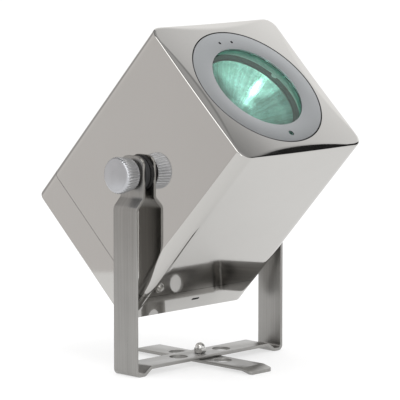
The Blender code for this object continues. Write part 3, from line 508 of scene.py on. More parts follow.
# Colour, roughness and metallic, then the grain, the cloud, the grain's share of the tint, the
# shades, the limits of roughness, and the relief's strength and distance.
CLOUDED = {
    # Bead-blasted: an even cool grey with a very fine grain.
    "satin_steel": ((0.388, 0.400, 0.410), 0.42, 1.0, (900.0, EVEN, 2.0), (40.0, EVEN, 3.0),
                    0.5, (0.93, 1.07), (0.38, 0.46), (0.3, 0.00008)),
    "cast_aluminium": ((0.55, 0.56, 0.57), 0.45, 1.0, (500.0, EVEN, 4.0), (45.0, EVEN, 3.0),
                       0.4, (0.85, 1.1), (0.38, 0.55), (0.3, 0.0001)),
    "bright_fastener": ((0.62, 0.615, 0.60), 0.16, 1.0, (900.0, (1, 1, 4), 2.0),
                        (350.0, EVEN, 3.0), 0.0, (0.85, 1.1), (0.11, 0.26), (0.2, 0.00006)),
    # The glass's ground edge: a matt, pale sea green.
    "ground_glass_edge": ((0.72, 0.93, 0.86), 0.65, 0.0, (700.0, EVEN, 3.0),
                          (60.0, (1, 1, 8), 3.0), 0.3, (0.75, 1.2), (0.55, 0.75), (0.3, 0.0001)),
    "phosphor": ((0.85, 0.70, 0.25), 0.5, 0.0, (2500.0, EVEN, 2.0), None, 1.0,
                 (0.85, 1.1), (0.45, 0.6), (0.3, 0.00005)),
    "black_plastic": ((0.03, 0.03, 0.03), 0.45, 0.0, (1600.0, EVEN, 2.0), None, 1.0,
                      (0.8, 1.4), (0.4, 0.55), (0.4, 0.00008)),
    # Painted shade: a near-black, rough metal look put on the walls of narrow gaps and drilled holes, where shade
    # falls.
    "painted_recess_shade": ((0.035, 0.035, 0.036), 0.6, 0.3, (800.0, EVEN, 3.0), None, 1.0,
                    (0.7, 1.4), (0.5, 0.75), (0.3, 0.0001)),
    # Frosted clear plastic, on the dowel that keeps the glass from turning.
    "pale_dowel": ((0.80, 0.92, 0.88), 0.4, 0.0, (300.0, EVEN, 3.0), None, 1.0,
                   (0.9, 1.08), (0.3, 0.5), (0.2, 0.0001)),
    # Dark green-black plating on the lock screw.
    "dark_plating": ((0.055, 0.115, 0.095), 0.38, 0.7, (500.0, EVEN, 3.0), None, 1.0,
                     (0.7, 1.5), (0.28, 0.5), (0.2, 0.0001)),
}
LOOKS.update({name: clouded(name, *values) for name, values in CLOUDED.items()})


def finish_piece(piece, body, slot, *nodes, look=None):
    """Gives a piece its look, the body that it rides on and the CAD nodes that it stands for."""
    piece.data.materials.clear()
    piece.data.materials.append(look or LOOKS[slot])
    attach(piece, body)
    if nodes:
        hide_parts(*nodes)
    return piece


def paint_shade(piece, chosen):
    """Paints shade: gives the faces that are chosen by place and facing a near-black look, standing in for the
    shade inside a recess.
    """
    piece.data.materials.append(LOOKS["painted_recess_shade"])
    for face in piece.data.polygons:
        if chosen(face.center, face.normal):
            face.material_index = len(piece.data.materials) - 1


# ------ head: casing

STRAIGHT_STEPS = 44  # points along each flat side of the square section
CORNER_STEPS = 14
FOLD_STEPS = 6
PANEL_RINGS = 26
ROLL_OFF_SLOPE = math.tan(math.radians(9))
ROLL_OFF_BESIDE = 0.0112  # width of the polished-down border along the two side edges
ROLL_OFF_ALONG = 0.0100  # and along the upper and lower edges
PANEL_GAP = 0.0007  # around the bezel, in the panel's round hole
HOLE_BREAK = 0.0003
LINER_GAP, LINER_SINK = 0.0004, 0.0010  # of the hidden inner skin, from the side and the panel
SHELL_SMOOTH = math.radians(18)
PIVOT_BORE = 0.0043
FOLD_HOLD = 0.0004  # flat beside the fold, so that its highlight stays narrow


def square_ring(half, inset, along):
    """The casing's rounded square or one inset from it, dense enough for clean reflections."""
    points = []
    half -= inset
    radius = EDGE_RADIUS - inset
    for quarter, (side_x, side_y) in enumerate(((1, 1), (-1, 1), (-1, -1), (1, -1))):
        centre = (side_x * (half - radius), side_y * (half - radius))
        start = quarter * math.pi / 2
        corner = arc(centre, radius, start, start + math.pi / 2, CORNER_STEPS)
        points += [(x, y, along) for x, y in corner]
        run = -Vector((math.cos(start), math.sin(start)))
        length = 2 * (half - radius)
        last = Vector(corner[-1])
        for step in range(1, STRAIGHT_STEPS):
            point = last + run * length * step / STRAIGHT_STEPS
            points.append((point.x, point.y, along))
    return points


def roll_off(x, y, half):
    """How far polishing has taken the front panel down: a border that narrows to each corner."""
    depth = 0.0
    for across, beside, width in ((x, y, ROLL_OFF_BESIDE), (y, x, ROLL_OFF_ALONG)):
        room = width * (1 - (beside / (half - EDGE_RADIUS)) ** 2)
        inset = half - abs(across)
        if room > 1e-5 and inset < room:
            depth += ROLL_OFF_SLOPE * room / 2 * (1 - inset / room) ** 2
    return depth


def round_ring(outline, radius, along):
    """A circle that has a point in the direction of each point of an outline."""
    return [(x * radius / math.hypot(x, y), y * radius / math.hypot(x, y), along)
            for x, y, _ in outline]


def between(first, second, share, along):
    """The ring that lies a share of the way from one ring to another, at its own height."""
    return [(x * (1 - share) + end_x * share, y * (1 - share) + end_y * share, along)
            for (x, y, _), (end_x, end_y, _) in zip(first, second)]


def make_housing():
    low, high = local_box("housing_shell")
    half = high.x
    front = high.z
    hole = local_box("bezel_ring")[1].x + PANEL_GAP
    outline = square_ring(half, FOLD_RADIUS, 0.0)

    def fold_ring(inset, sink):
        """A ring of the tight fold, which follows the panel's border down."""
        ring = square_ring(half, inset, 0.0)
        return [(x, y, front - sink - roll_off(edge_x, edge_y, half))
                for (x, y, _), (edge_x, edge_y, _) in zip(ring, outline)]

    rings = [square_ring(half, SHEET, low.z),
             square_ring(half, 0, low.z)]
    for share in (0.02, 0.25, 0.5, 0.75):
        rings.append(square_ring(half, 0, low.z + (front - low.z) * share))
    rings.append(fold_ring(0.0, FOLD_RADIUS + FOLD_HOLD))
    # From the side of the tube round to the front panel.
    tilt = math.atan(ROLL_OFF_SLOPE)
    for step in range(FOLD_STEPS + 1):
        angle = math.pi / 2 + (tilt - math.pi / 2) * step / FOLD_STEPS
        share = (math.sin(angle) - math.sin(tilt)) / (1 - math.sin(tilt))
        sink = (math.cos(tilt) - math.cos(angle)) / math.cos(tilt)
        rings.append(fold_ring(FOLD_RADIUS * (1 - share), FOLD_RADIUS * sink))
    for step in range(1, PANEL_RINGS + 1):
        share = step / PANEL_RINGS
        ring = []
        for x, y, _ in outline:
            scale = (1 - share) + share * (hole + HOLE_BREAK) / math.hypot(x, y)
            ring.append((x * scale, y * scale, front - roll_off(x * scale, y * scale, half)))
        rings.append(ring)
    rings.append(round_ring(outline, hole + HOLE_BREAK * 0.3, front - HOLE_BREAK * 0.3))
    rings.append(round_ring(outline, hole, front - HOLE_BREAK))
    hole_edge = round_ring(outline, hole, front - SHEET)
    rings.append(hole_edge)
    inside = square_ring(half - LINER_GAP, SHEET, 0.0)
    for share in (0.5, 1.0):
        rings.append(between(hole_edge, inside, share, front - SHEET - LINER_SINK * share))
    shell = stacked("head_housing", rings, HEAD, closed=True)
    across = HEAD @ Matrix.Rotation(math.pi / 2, 4, "Y")
    drill = cutter(PIVOT_BORE, -half - MARGIN, half + MARGIN, across)
    combine(shell, [drill])
    shade(shell, SHELL_SMOOTH)
    finish_piece(shell, "head", "mirror_steel", "housing_shell")
    # Painted shade: the wall of the panel's round hole and its broken edge, in the gap around the bezel, take a
    # near-black look.
    paint_shade(shell, lambda at, facing: math.hypot(at.x, at.y) < hole + HOLE_BREAK
            and facing.z < 0.99 and at.z > front - 2 * SHEET)
    return to_frame(shell)


COVER_FOLD = 0.0016  # finely rounded, so a little more than the facets of the CAD
COVER_HOLE = 0.0083  # for the gland
DRAIN = Vector((0.003, 0, -0.102))  # middle of the drain slot in the cover's lower side
DRAIN_LENGTH = 0.0100
DRAIN_WIDTH = 0.0028


def make_rear_cover():
    low, high = local_box("rear_cover")
    half = high.x
    rings = [square_ring(half, SHEET, high.z),
             square_ring(half, 0, high.z),
             square_ring(half, 0, high.z - FOLD_HOLD),
             square_ring(half, 0, low.z + COVER_FOLD + FOLD_HOLD)]
    for step in range(FOLD_STEPS + 1):
        angle = math.pi / 2 * step / FOLD_STEPS
        inset = COVER_FOLD * (1 - math.cos(angle))
        rings.append(square_ring(half, inset, low.z + COVER_FOLD * (1 - math.sin(angle))))
    outline = rings[-1]
    hole_edge = round_ring(outline, COVER_HOLE, low.z)
    for share in (0.33, 0.66):
        rings.append(between(outline, hole_edge, share, low.z))
    rings.append(hole_edge)
    rings.append(round_ring(outline, COVER_HOLE, low.z + SHEET))
    rings.append(square_ring(half, SHEET, low.z + SHEET))
    cover = stacked("head_rear_cover", rings, HEAD, closed=True)
    end, side = DRAIN_LENGTH / 2, DRAIN_WIDTH / 2
    slot = rounded([(-end, -side), (end, -side), (end, side), (-end, side)], side - 0.00001, 8)
    tool = extruded("cutter", slot, -half - MARGIN, -half + 2 * MARGIN, moved(HEAD, *DRAIN), "Y")
    combine(cover, [tool])
    finish_piece(cover, "head", "mirror_steel", "rear_cover")
    # Painted shade: the walls of the drain slot take a near-black look.
    paint_shade(cover, lambda at, facing: at.y < -half + 0.9 * SHEET and facing.y > -0.5
            and abs(at.x - DRAIN.x) < end + 0.0002 and abs(at.z - DRAIN.z) < side + 0.0002)
    return to_frame(cover)


# ------ head: front and optics

BEZEL_MOUTH = 0.0482
BEZEL_LIP = 0.0022  # thickness of the lip over the glass
BEZEL_FLANGE_BACK, BEZEL_GROOVE_BACK = 0.1062, 0.1071  # places along the beam
BEZEL_GROOVE_INNER, BEZEL_SKIRT_INNER, BEZEL_SKIRT_OUTER = 0.0543, 0.0586, 0.0612
SPANNER_HOLE, SPANNER_DEPTH = 0.0015, 0.0026
SPANNER_PLACES = ((-0.008, 0.0565), (0.008, 0.0565))
LOCK_SCREW, LOCK_DEPTH = 0.0026, 0.0030
LOCK_SOCKET, LOCK_SOCKET_DEPTH = 0.0024, 0.0014
# The bezel's flank and hole walls carry painted shade only in front of this place along the beam.
BEZEL_SHADE_FROM = 0.0950  # faces further back keep the steel's look
LOCK_PLACE = (0, -0.059)
SEAL_INNER = 0.0477
DOWEL_ANGLE = math.radians(23.5)
DOWEL_INSET = 0.0010  # of its middle, from the seal's outer edge
DOWEL = 0.0030  # radius
DOWEL_TRIM = 0.0540  # the dowel stays inside the bezel's groove


def make_bezel():
    low, high = local_box("bezel_ring")
    radius = high.x
    lip_back = high.z - BEZEL_LIP
    profile = rounded([
        (BEZEL_MOUTH, lip_back), (BEZEL_MOUTH, high.z), (radius, high.z),
        (radius, BEZEL_FLANGE_BACK), (BEZEL_SKIRT_OUTER, BEZEL_FLANGE_BACK),
        (BEZEL_SKIRT_OUTER, low.z), (BEZEL_SKIRT_INNER, low.z),
        (BEZEL_SKIRT_INNER, BEZEL_GROOVE_BACK), (BEZEL_GROOVE_INNER, BEZEL_GROOVE_BACK),
        (BEZEL_GROOVE_INNER, lip_back),
    ], [0.0003, 0.0002, 0.0005, 0.0003, 0, 0.0003, 0.0003, 0, 0, 0], 4)
    ring = turned("bezel", profile, HEAD, 192)
    tools = [cutter(SPANNER_HOLE, high.z - SPANNER_DEPTH, high.z + MARGIN, moved(HEAD, x, y),
                    steps=24)
             for x, y in SPANNER_PLACES]
    tools.append(cutter(LOCK_SCREW + GAP, high.z - LOCK_DEPTH, high.z + MARGIN,
                        moved(HEAD, *LOCK_PLACE), steps=32))
    combine(ring, tools)
    finish_piece(ring, "head", "satin_steel", "bezel_ring")
    holes = [(x, y, SPANNER_HOLE + 0.0002) for x, y in SPANNER_PLACES]
    holes.append((*LOCK_PLACE, LOCK_SCREW + 2 * GAP))
    # Painted shade: the bezel's outer flank, in the narrow gap of the panel's hole, and the walls of its spanner
    # and lock screw holes take a near-black look.
    paint_shade(ring, lambda at, facing: at.z > BEZEL_SHADE_FROM and facing.z < 0.9 and (
        math.hypot(at.x, at.y) > radius - 0.0003
        or any(math.hypot(at.x - x, at.y - y) < reach for x, y, reach in holes)))
    return ring


def make_lock_screw():
    low, high = local_box("bezel_lock_screw")
    profile = rounded(section(0, LOCK_SCREW, low.z, high.z), [0, 0.0001, 0.0004, 0], 3)
    place = moved(HEAD, *LOCK_PLACE)
    screw = turned("bezel_lock_screw_head", profile, place, 48)
    socket = extruded("cutter", hexagon(LOCK_SOCKET), high.z - LOCK_SOCKET_DEPTH, high.z + MARGIN,
                      place)
    combine(screw, [socket])
    return finish_piece(screw, "head", "bright_fastener", "bezel_lock_screw",
                        look=LOOKS["dark_plating"])


def make_glass():
    low, high = local_box("lens_glass")
    radius = high.x
    chamfer = 0.0008
    profile = [(0, low.z), (radius - chamfer, low.z), (radius, low.z + chamfer),
               (radius, high.z - chamfer), (radius - chamfer, high.z), (0, high.z)]
    glass = turned("front_glass", profile, HEAD, 128, math.radians(20))
    finish_piece(glass, "head", "green_glass", "lens_glass")
    glass.data.materials.append(LOOKS["ground_glass_edge"])
    for face in glass.data.polygons:
        if abs(face.normal.z) < 0.9:
            face.material_index = 1
    return glass


def make_seat_seal():
    low, high = local_box("seat_seal")
    radius = high.x
    profile = rounded(section(SEAL_INNER, radius, low.z, high.z),
                      [0.0002, 0.0002, 0.0002, 0.0004], 3)
    seal = turned("glass_seat_seal", profile, HEAD, 160)
    centre = radius - DOWEL_INSET
    place = moved(HEAD, centre * math.cos(DOWEL_ANGLE), centre * math.sin(DOWEL_ANGLE))
    combine(seal, [cutter(DOWEL + GAP, low.z - MARGIN, high.z + MARGIN, place, steps=40)])
    finish_piece(seal, "head", "dark_seal", "seat_seal")
    low, high = local_box("locating_dowel")
    profile = rounded(section(0, DOWEL, low.z, high.z), [0, 0.0003, 0.0006, 0], 3)
    dowel = turned("glass_locating_dowel", profile, place, 48)
    trim = cutter(DOWEL_TRIM, low.z - MARGIN, high.z + MARGIN, HEAD, steps=160)
    combine(dowel, [trim], "INTERSECT")
    return finish_piece(dowel, "head", "bright_fastener", "locating_dowel",
                        look=LOOKS["pale_dowel"])


DISH_STEPS = 32


def make_reflector():
    low, high = local_box("reflector")
    rim, neck, wall, flange = 0.0474, 0.0110, 0.0010, 0.0494
    depth = high.z - low.z
    inner = []
    for step in range(DISH_STEPS + 1):
        share = (step / DISH_STEPS) ** 1.6
        inner.append((math.sqrt(neck ** 2 + share * (rim ** 2 - neck ** 2)), low.z + depth * share))
    outer = [(radius + wall, along) for radius, along in inner[:-3]]
    profile = inner + [(flange, high.z), (flange, high.z - wall)] + outer[::-1]
    dish = turned("reflector_dish", profile, HEAD, 144)
    return finish_piece(dish, "head", "reflector_mirror", "reflector")


# ------ fasteners and glands

CAP_NUT_FLATS, CAP_NUT_HEX = 0.0100, 0.0045  # the hexagon's width and height
CAP_NUT_DOME = 0.0048
COVER_SCREW_PLACE = 0.066  # from the beam, both ways


def hex_body(name, flats, start, end, place):
    """A hexagon whose corners are turned down at its ends."""
    corner = flats / math.sqrt(3)
    shank = flats / 2 * 0.97
    drop = (corner - shank) * math.tan(math.radians(30))
    body = extruded(name, hexagon(flats), start, end, place)
    rim = corner + 0.0002
    trim = turned("cutter", [(0, start), (shank, start), (rim, start + drop),
                             (rim, end - drop), (shank, end), (0, end)], place)
    return combine(body, [trim], "INTERSECT")


def button_screw(name, low, high, place, crown, head, height, edge, shank, socket, steps):
    """A screw with a low round head at its lower end, and a hexagon socket as (flats, depth)."""
    seat = low + height
    profile = rounded([
        (0, low), (crown, low), (head, seat - edge[0]), (head, seat), (shank, seat),
        (shank, high), (0, high),
    ], [0, 0.0008, edge[1], 0.0001, 0, 0.0003, 0], 4)
    screw = turned(name, profile, place, steps)
    tool = extruded("cutter", hexagon(socket[0]), low - MARGIN, low + socket[1], place)
    return combine(screw, [tool])


def make_cap_nut():
    low, high = local_box("cap_nut", STAND)
    bottom, top = low.z, high.z
    hex_top = bottom + CAP_NUT_HEX
    nut = hex_body("domed_nut", CAP_NUT_FLATS, bottom, hex_top, STAND)
    shoulder = top - CAP_NUT_DOME
    dome = [(0, hex_top - 0.001), (CAP_NUT_DOME, hex_top - 0.001), (CAP_NUT_DOME, shoulder)]
    dome += arc((0, shoulder), CAP_NUT_DOME, 0, math.pi / 2, 16)[1:-1] + [(0, top)]
    combine(nut, [turned("cutter", dome, STAND, 64)], "UNION")
    thread_end = local_box("centre_bolt", STAND)[1].z + GAP
    combine(nut, [cutter(THREAD_BORE, bottom - MARGIN, thread_end, STAND, steps=32)])
    return finish_piece(nut, "stand", "bright_fastener", "cap_nut")


def make_centre_bolt():
    low, high = local_box("centre_bolt", STAND)
    bolt = button_screw("underside_bolt", low.z, high.z, STAND, crown=0.0052, head=0.0070,
                        height=0.0021, edge=(0.0006, 0.0004), shank=0.0030,
                        socket=(0.004, 0.0015), steps=64)
    finish_piece(bolt, "stand", "bright_fastener", "centre_bolt")


def make_cover_screws():
    for number, (x, y) in enumerate(((1, 1), (-1, 1), (-1, -1), (1, -1)), start=1):
        node = f"cover_screw_{number}"
        low, high = local_box(node)
        place = moved(HEAD, x * COVER_SCREW_PLACE, y * COVER_SCREW_PLACE)
        screw = button_screw(f"cover_button_screw_{number}", low.z, high.z, place, crown=0.0026,
                             head=0.0038, height=0.0022, edge=(0.0009, 0.0005), shank=0.0020,
                             socket=(0.0025, 0.0013), steps=48)
        finish_piece(screw, "head", "bright_fastener", node)


GLAND_FLATS = 0.0220
GLAND_HEX = 0.0060  # height of the hexagon
GLAND_BORE, GLAND_TUBE = 0.0050, 0.0080
GLAND_RIBS = 20
STEPS_PER_RIB = 6
RIB_DEPTH = 0.0006
GLAND_NUT = 0.0100
GLAND_NUT_BORE = 0.0083
GLAND_CROWN = 0.0030  # radius of the nut's rounded end
GLAND_MOUTH = 0.0038
CROWN_STEPS = 6


def ribbed(radius, depth, along):
    waves = [math.cos(2 * math.pi * step / STEPS_PER_RIB)
             for step in range(GLAND_RIBS * STEPS_PER_RIB)]
    return polar_ring([radius - depth * (0.5 - 0.5 * wave) ** 2 for wave in waves], along)


def make_cover_gland():
    low, high = local_box("cover_gland_body")
    seat = local_box("rear_cover")[0].z - GAP
    body = hex_body("rear_gland_body", GLAND_FLATS, seat - GLAND_HEX, seat, HEAD)
    tube = turned("cutter", section(GLAND_BORE, GLAND_TUBE, low.z, high.z), HEAD, 64)
    combine(body, [tube], "UNION")
    combine(body, [cutter(GLAND_BORE, low.z - MARGIN, high.z + MARGIN, HEAD, steps=64)])
    finish_piece(body, "head", "nickel_brass", "cover_gland_body")

    low, high = local_box("cover_gland_nut")
    start, end = high.z, low.z
    rings = [ribbed(GLAND_NUT_BORE, 0, start), ribbed(GLAND_NUT - 0.0004, 0, start),
             ribbed(GLAND_NUT, 0.0004, start - 0.0004),
             ribbed(GLAND_NUT, RIB_DEPTH, start - 0.0020),
             ribbed(GLAND_NUT, RIB_DEPTH, end + GLAND_CROWN + 0.0004)]
    for step in range(1, CROWN_STEPS + 1):
        angle = math.pi / 2 * step / CROWN_STEPS
        rings.append(ribbed(GLAND_NUT - GLAND_CROWN * (1 - math.cos(angle)),
                            RIB_DEPTH * (1 - step / CROWN_STEPS),
                            end + GLAND_CROWN * (1 - math.sin(angle))))
    rings += [ribbed(GLAND_MOUTH + 0.0003, 0, end), ribbed(GLAND_MOUTH, 0, end + 0.0003),
              ribbed(GLAND_MOUTH, 0, end + 0.0035), ribbed(GLAND_NUT_BORE, 0, end + 0.0036)]
    nut = stacked("rear_gland_nut", rings, HEAD, closed=True)
    finish_piece(to_frame(nut), "head", "nickel_brass", "cover_gland_nut")


# ------ tilt pivots and knobs

FLUTES = 36
STEPS_PER_FLUTE = 10
FLUTE_DEPTH = 0.0008
FLUTE_START, FLUTE_END = 0.18, 0.82  # of each flute's share of the round; the rest is a land
WASHER_BORE = 0.0044
KNOB_HUB = 0.0090
KNOB_BORE = 0.0043
KNOB_BORE_END = 0.1085  # heights out along the tilt axis
KNOB_INNER_RADIUS = 0.0152  # the grip widens from here
KNOB_INNER_RIM = 0.0945
KNOB_GRIP_END = 0.1085  # to its meeting with the rounded face
KNOB_ROUNDING = 0.0040
KNOB_CHAMFER = 0.0008


def make_washers(side, sign):
    place = outwards(sign)
    for node, body, slot, softening in (
            (f"friction_washer_{side}", "head", "black_rubber", 0.0006),
            (f"thrust_washer_{side}", f"thrust_washer_{side}", "bright_fastener", 0.0002)):
        low, high = local_box(node, place)
        profile = rounded(section(WASHER_BORE, high.x, low.z, high.z), softening, 4)
        washer = turned(f"{node}_ring", profile, place, 96)
        finish_piece(washer, body, slot, node)


def fluted(radius, depth, along):
    """A ring whose radius dips in a rounded groove for each flute."""
    reaches = []
    for step in range(FLUTES * STEPS_PER_FLUTE):
        share = step / STEPS_PER_FLUTE % 1.0
        inside = (share - FLUTE_START) / (FLUTE_END - FLUTE_START)
        groove = math.sin(math.pi * inside) if 0 < inside < 1 else 0.0
        reaches.append(radius - depth * groove ** 0.8)
    return polar_ring(reaches, along)


def make_knob(side, sign):
    """A turned knob: a plain hub, a flaring fluted grip and a domed face with a rounded edge."""
    place = outwards(sign)
    low, high = local_box(f"knob_{side}", place)
    radius = high.x
    hub, bore, inner = KNOB_HUB, KNOB_BORE, KNOB_INNER_RADIUS
    plain = [(bore, KNOB_BORE_END), (bore, low.z + 0.0004), (bore + 0.0004, low.z),
             (hub - 0.0003, low.z), (hub, low.z + 0.0003), (hub, KNOB_INNER_RIM - 0.0004),
             (hub + 0.0004, KNOB_INNER_RIM), (inner - KNOB_CHAMFER, KNOB_INNER_RIM)]
    rings = [fluted(reach, 0, along) for reach, along in plain]
    for share in (0.25, 0.5, 0.75, 1.0):
        angle = math.pi / 2 * share
        rings.append(fluted(inner - KNOB_CHAMFER * (1 - math.sin(angle)), FLUTE_DEPTH * share,
                            KNOB_INNER_RIM + KNOB_CHAMFER * (1 - math.cos(angle))))
    grip_start = KNOB_INNER_RIM + KNOB_CHAMFER
    for share in (0.1, 0.35, 0.65, 0.95):
        rings.append(fluted(inner + (radius - inner) * share, FLUTE_DEPTH,
                            grip_start + (KNOB_GRIP_END - grip_start) * share))
    face = radius - KNOB_ROUNDING
    edge = KNOB_ROUNDING - 0.0002
    for step in range(9):
        angle = math.pi / 2 * step / 8
        fade = max(0.0, 1 - step / 5)
        rings.append(fluted(face + edge * math.cos(angle), FLUTE_DEPTH * fade,
                            KNOB_GRIP_END + edge * math.sin(angle)))
    rim = KNOB_GRIP_END + edge
    crown = high.z - rim
    for share in (0.94, 0.86, 0.75, 0.6, 0.45, 0.3, 0.15, 0.06):
        rings.append(fluted(face * share, 0, rim + crown * (1 - share ** 2)))
    knob = stacked(f"hand_knob_{side}", rings, place)
    return finish_piece(knob, f"knob_{side}", "knob_steel", f"knob_{side}")


# ------ stand

BAR_EDGE = 0.00035
ARM_BEND = 0.0060
FOOT_BEND = 0.0040
ARM_END_RADIUS = 0.0100
ARM_BORE = 0.0044
ARM_TOP_INSIDE = 0.0880  # of the arms' upper ends, from the middle
JOGGLE_BOTTOM, JOGGLE_TOP = 0.1588, 0.1683
FOOT_INNER, FOOT_OUTER = 0.0802, 0.0885
BASE_RISE = 0.0060  # the base bridges the cross strap
BASE_HOLE, BASE_HOLE_PLACE = 0.00875, 0.0292
CROSS_HALF = 0.0820
CROSS_BEND = 0.0700  # where its ends turn down
CROSS_BEND_RADIUS = 0.008
CROSS_CORNER = 0.005
CROSS_HOLE, CROSS_HOLE_PLACE = 0.0085, 0.0307


def bent_bar(name, right, radii, half, axis, trim, tools):
    """A strip bent to a line that goes on as its own mirror image, trimmed and drilled."""
    left = [(-across, height) for across, height in reversed(right)]
    outline = bent_strip(left + right, radii + radii[::-1], STRIP)
    bar = extruded(name, outline, -half, half, STAND, axis)
    combine(bar, [trim], "INTERSECT")
    combine(bar, tools)
    return soften(bar, BAR_EDGE)


def make_bracket():
    high = local_box("u_bracket", STAND)[1]
    half = high.y
    arm = high.x - STRIP / 2
    arm_top = ARM_TOP_INSIDE + STRIP / 2
    foot = STRIP / 2
    base = BASE_RISE + STRIP / 2
    right = [(FOOT_INNER, base), (FOOT_OUTER, foot), (arm, foot), (arm, JOGGLE_BOTTOM),
             (arm_top, JOGGLE_TOP), (arm_top, high.z + MARGIN)]
    radii = [ARM_BEND, ARM_BEND, FOOT_BEND, FOOT_BEND, FOOT_BEND]
    reach = high.x + MARGIN
    side = rounded([(-half - GAP, -MARGIN), (half + GAP, -MARGIN), (half + GAP, high.z),
                    (-half - GAP, high.z)], [0, 0, ARM_END_RADIUS, ARM_END_RADIUS], 16)
    trim = extruded("cutter", side, -reach, reach, STAND, "X")
    base_top = base + STRIP / 2
    tools = [cutter(ARM_BORE, ARM_TOP_INSIDE, ARM_TOP_INSIDE + STRIP, outwards(sign), BAR_EDGE)
             for sign in SIDES.values()]
    for x in (-BASE_HOLE_PLACE, BASE_HOLE_PLACE):
        tools.append(cutter(BASE_HOLE, base_top - STRIP, base_top, moved(STAND, x), BAR_EDGE, 72))
    tools.append(cutter(THREAD_BORE, base_top - STRIP, base_top, STAND, steps=32))
    bracket = bent_bar("stand_bracket", right, radii, half, "Y", trim, tools)
    return finish_piece(bracket, "stand", "brushed_steel", "u_bracket")


def make_cross_strap():
    high = local_box("cross_strap", STAND)[1]
    half, reach = high.x, high.y
    flat = high.z - STRIP / 2
    slope = math.atan2(flat - STRIP / 2, CROSS_HALF - CROSS_BEND)
    tip = STRIP / 2 * math.cos(slope)
    right = [(CROSS_BEND, flat), (CROSS_HALF, tip)]
    plan = rounded([(half + GAP, reach), (-half - GAP, reach), (-half - GAP, -reach),
                    (half + GAP, -reach)], CROSS_CORNER, 12)
    trim = extruded("cutter", plan, -MARGIN, high.z + MARGIN, STAND)
    tools = [cutter(THREAD_BORE, high.z - STRIP, high.z, STAND, steps=32)]
    for y in (-CROSS_HOLE_PLACE, CROSS_HOLE_PLACE):
        tools.append(cutter(CROSS_HOLE, high.z - STRIP, high.z, moved(STAND, 0, y), BAR_EDGE, 72))
    strap = bent_bar("swivel_strap", right, [CROSS_BEND_RADIUS], half, "X", trim, tools)
    return finish_piece(strap, "cross_strap", "brushed_steel", "cross_strap",
                        look=brushed_bar("brushed_cross_bar", 0, worn=False))


# ------ everything that stays CAD


def finish_cad_nodes():
    slots = {part["node"]: part["material_slot"] for part in frame["record"]["subparts"]}
    for name, node in frame["nodes"].items():
        if node.hide_render:
            continue
        node.data.materials.clear()
        node.data.materials.append(LOOKS[slots[name]])


# ------ stage, light and camera

CAMERA_AZIMUTH = math.radians(-45.52)
CAMERA_ELEVATION = math.radians(7.9)
CAMERA_DISTANCE = 2.8
CAMERA_TARGET = Vector((0, CENTRE_Y, 0.1573))
CAMERA_LENS = 263.3
LIT_POINT = Vector((0, 0, 0.2))
BACK = Vector((math.sin(CAMERA_AZIMUTH) * math.cos(CAMERA_ELEVATION),
               -math.cos(CAMERA_AZIMUTH) * math.cos(CAMERA_ELEVATION), math.sin(CAMERA_ELEVATION)))


def aim(thing, place, direction):
    """Puts a camera or light in its place, looking in a direction."""
    thing.location = place
    thing.rotation_mode = "QUATERNION"
    thing.rotation_quaternion = direction.to_track_quat("-Z", "Y")


def make_camera():
    data = bpy.data.cameras.new("camera")
    data.lens = CAMERA_LENS
    data.sensor_width = 36  # millimetres, as the lens
    camera = add_object("camera", data)
    aim(camera, CAMERA_TARGET + BACK * CAMERA_DISTANCE, -BACK)
    bpy.context.scene.camera = camera


def make_floor():
    builder = bmesh.new()
    bmesh.ops.create_grid(builder, x_segments=2, y_segments=2, size=40)
    floor = add_piece("floor", builder, Matrix.Identity(4))
    floor.data.transform(Matrix.Translation((0, 0, STRAP_LOW.z)))
    look = Look("pale_floor", (0.37, 0.37, 0.37), 0.8)
    look.set("Specular IOR Level", 0.1)
    look.set("Emission Color", (1.0, 1.0, 1.0, 1.0))
    look.set("Emission Strength", 0.62)
    look.tint(look.noise(6.0, detail=2.0), 0.99, 1.01)
    floor.data.materials.append(look.material)


def make_world():
    world = bpy.data.worlds.new("studio")
    world.use_nodes = True
    background = world.node_tree.nodes["Background"]
    background.inputs["Color"].default_value = (1.0, 1.0, 1.0, 1.0)
    background.inputs["Strength"].default_value = 1.10
    bpy.context.scene.world = world
    bpy.context.scene.view_settings.view_transform = "Standard"


def make_card(name, centre, along, across, size, ramp, colour=(1, 1, 1)):
    """A flat studio card that only reflections see. Along and across are its own two directions,
    and the ramp lists its brightness against the distance along, as (place, brightness)."""
    along = along.normalized()
    facing = along.cross(across).normalized()
    across = facing.cross(along)
    builder = bmesh.new()
    bmesh.ops.create_grid(builder, x_segments=1, y_segments=1, size=0.5)
    turn = Matrix((along, across, facing)).transposed().to_4x4()
    card = add_piece(name, builder, Matrix.Translation(centre) @ turn)
    card.data.transform(Matrix.Diagonal((*size, 1, 1)))
    material = bpy.data.materials.new(name)
    material.use_nodes = True
    tree = material.node_tree
    tree.nodes.clear()
    place = add_node(tree, "ShaderNodeTexCoord").outputs["Object"]
    reach = add_node(tree, "ShaderNodeSeparateXYZ", {0: place}).outputs["X"]
    strength = ramp[0][1]
    for (start, first), (end, second) in zip(ramp, ramp[1:]):
        step = add_node(tree, "ShaderNodeMapRange", {
            "Value": reach, "From Min": start, "From Max": end,
            "To Min": 0.0, "To Max": second - first,
        })
        strength = add_node(tree, "ShaderNodeMath", {
            0: strength, 1: step.outputs["Result"],
        }).outputs[0]
    glow = add_node(tree, "ShaderNodeEmission", {"Color": (*colour, 1.0), "Strength": strength})
    add_node(tree, "ShaderNodeOutputMaterial", {"Surface": glow.outputs[0]})
    card.data.materials.append(material)
    card.visible_camera = False
    card.visible_diffuse = False
    card.visible_shadow = False
    return card


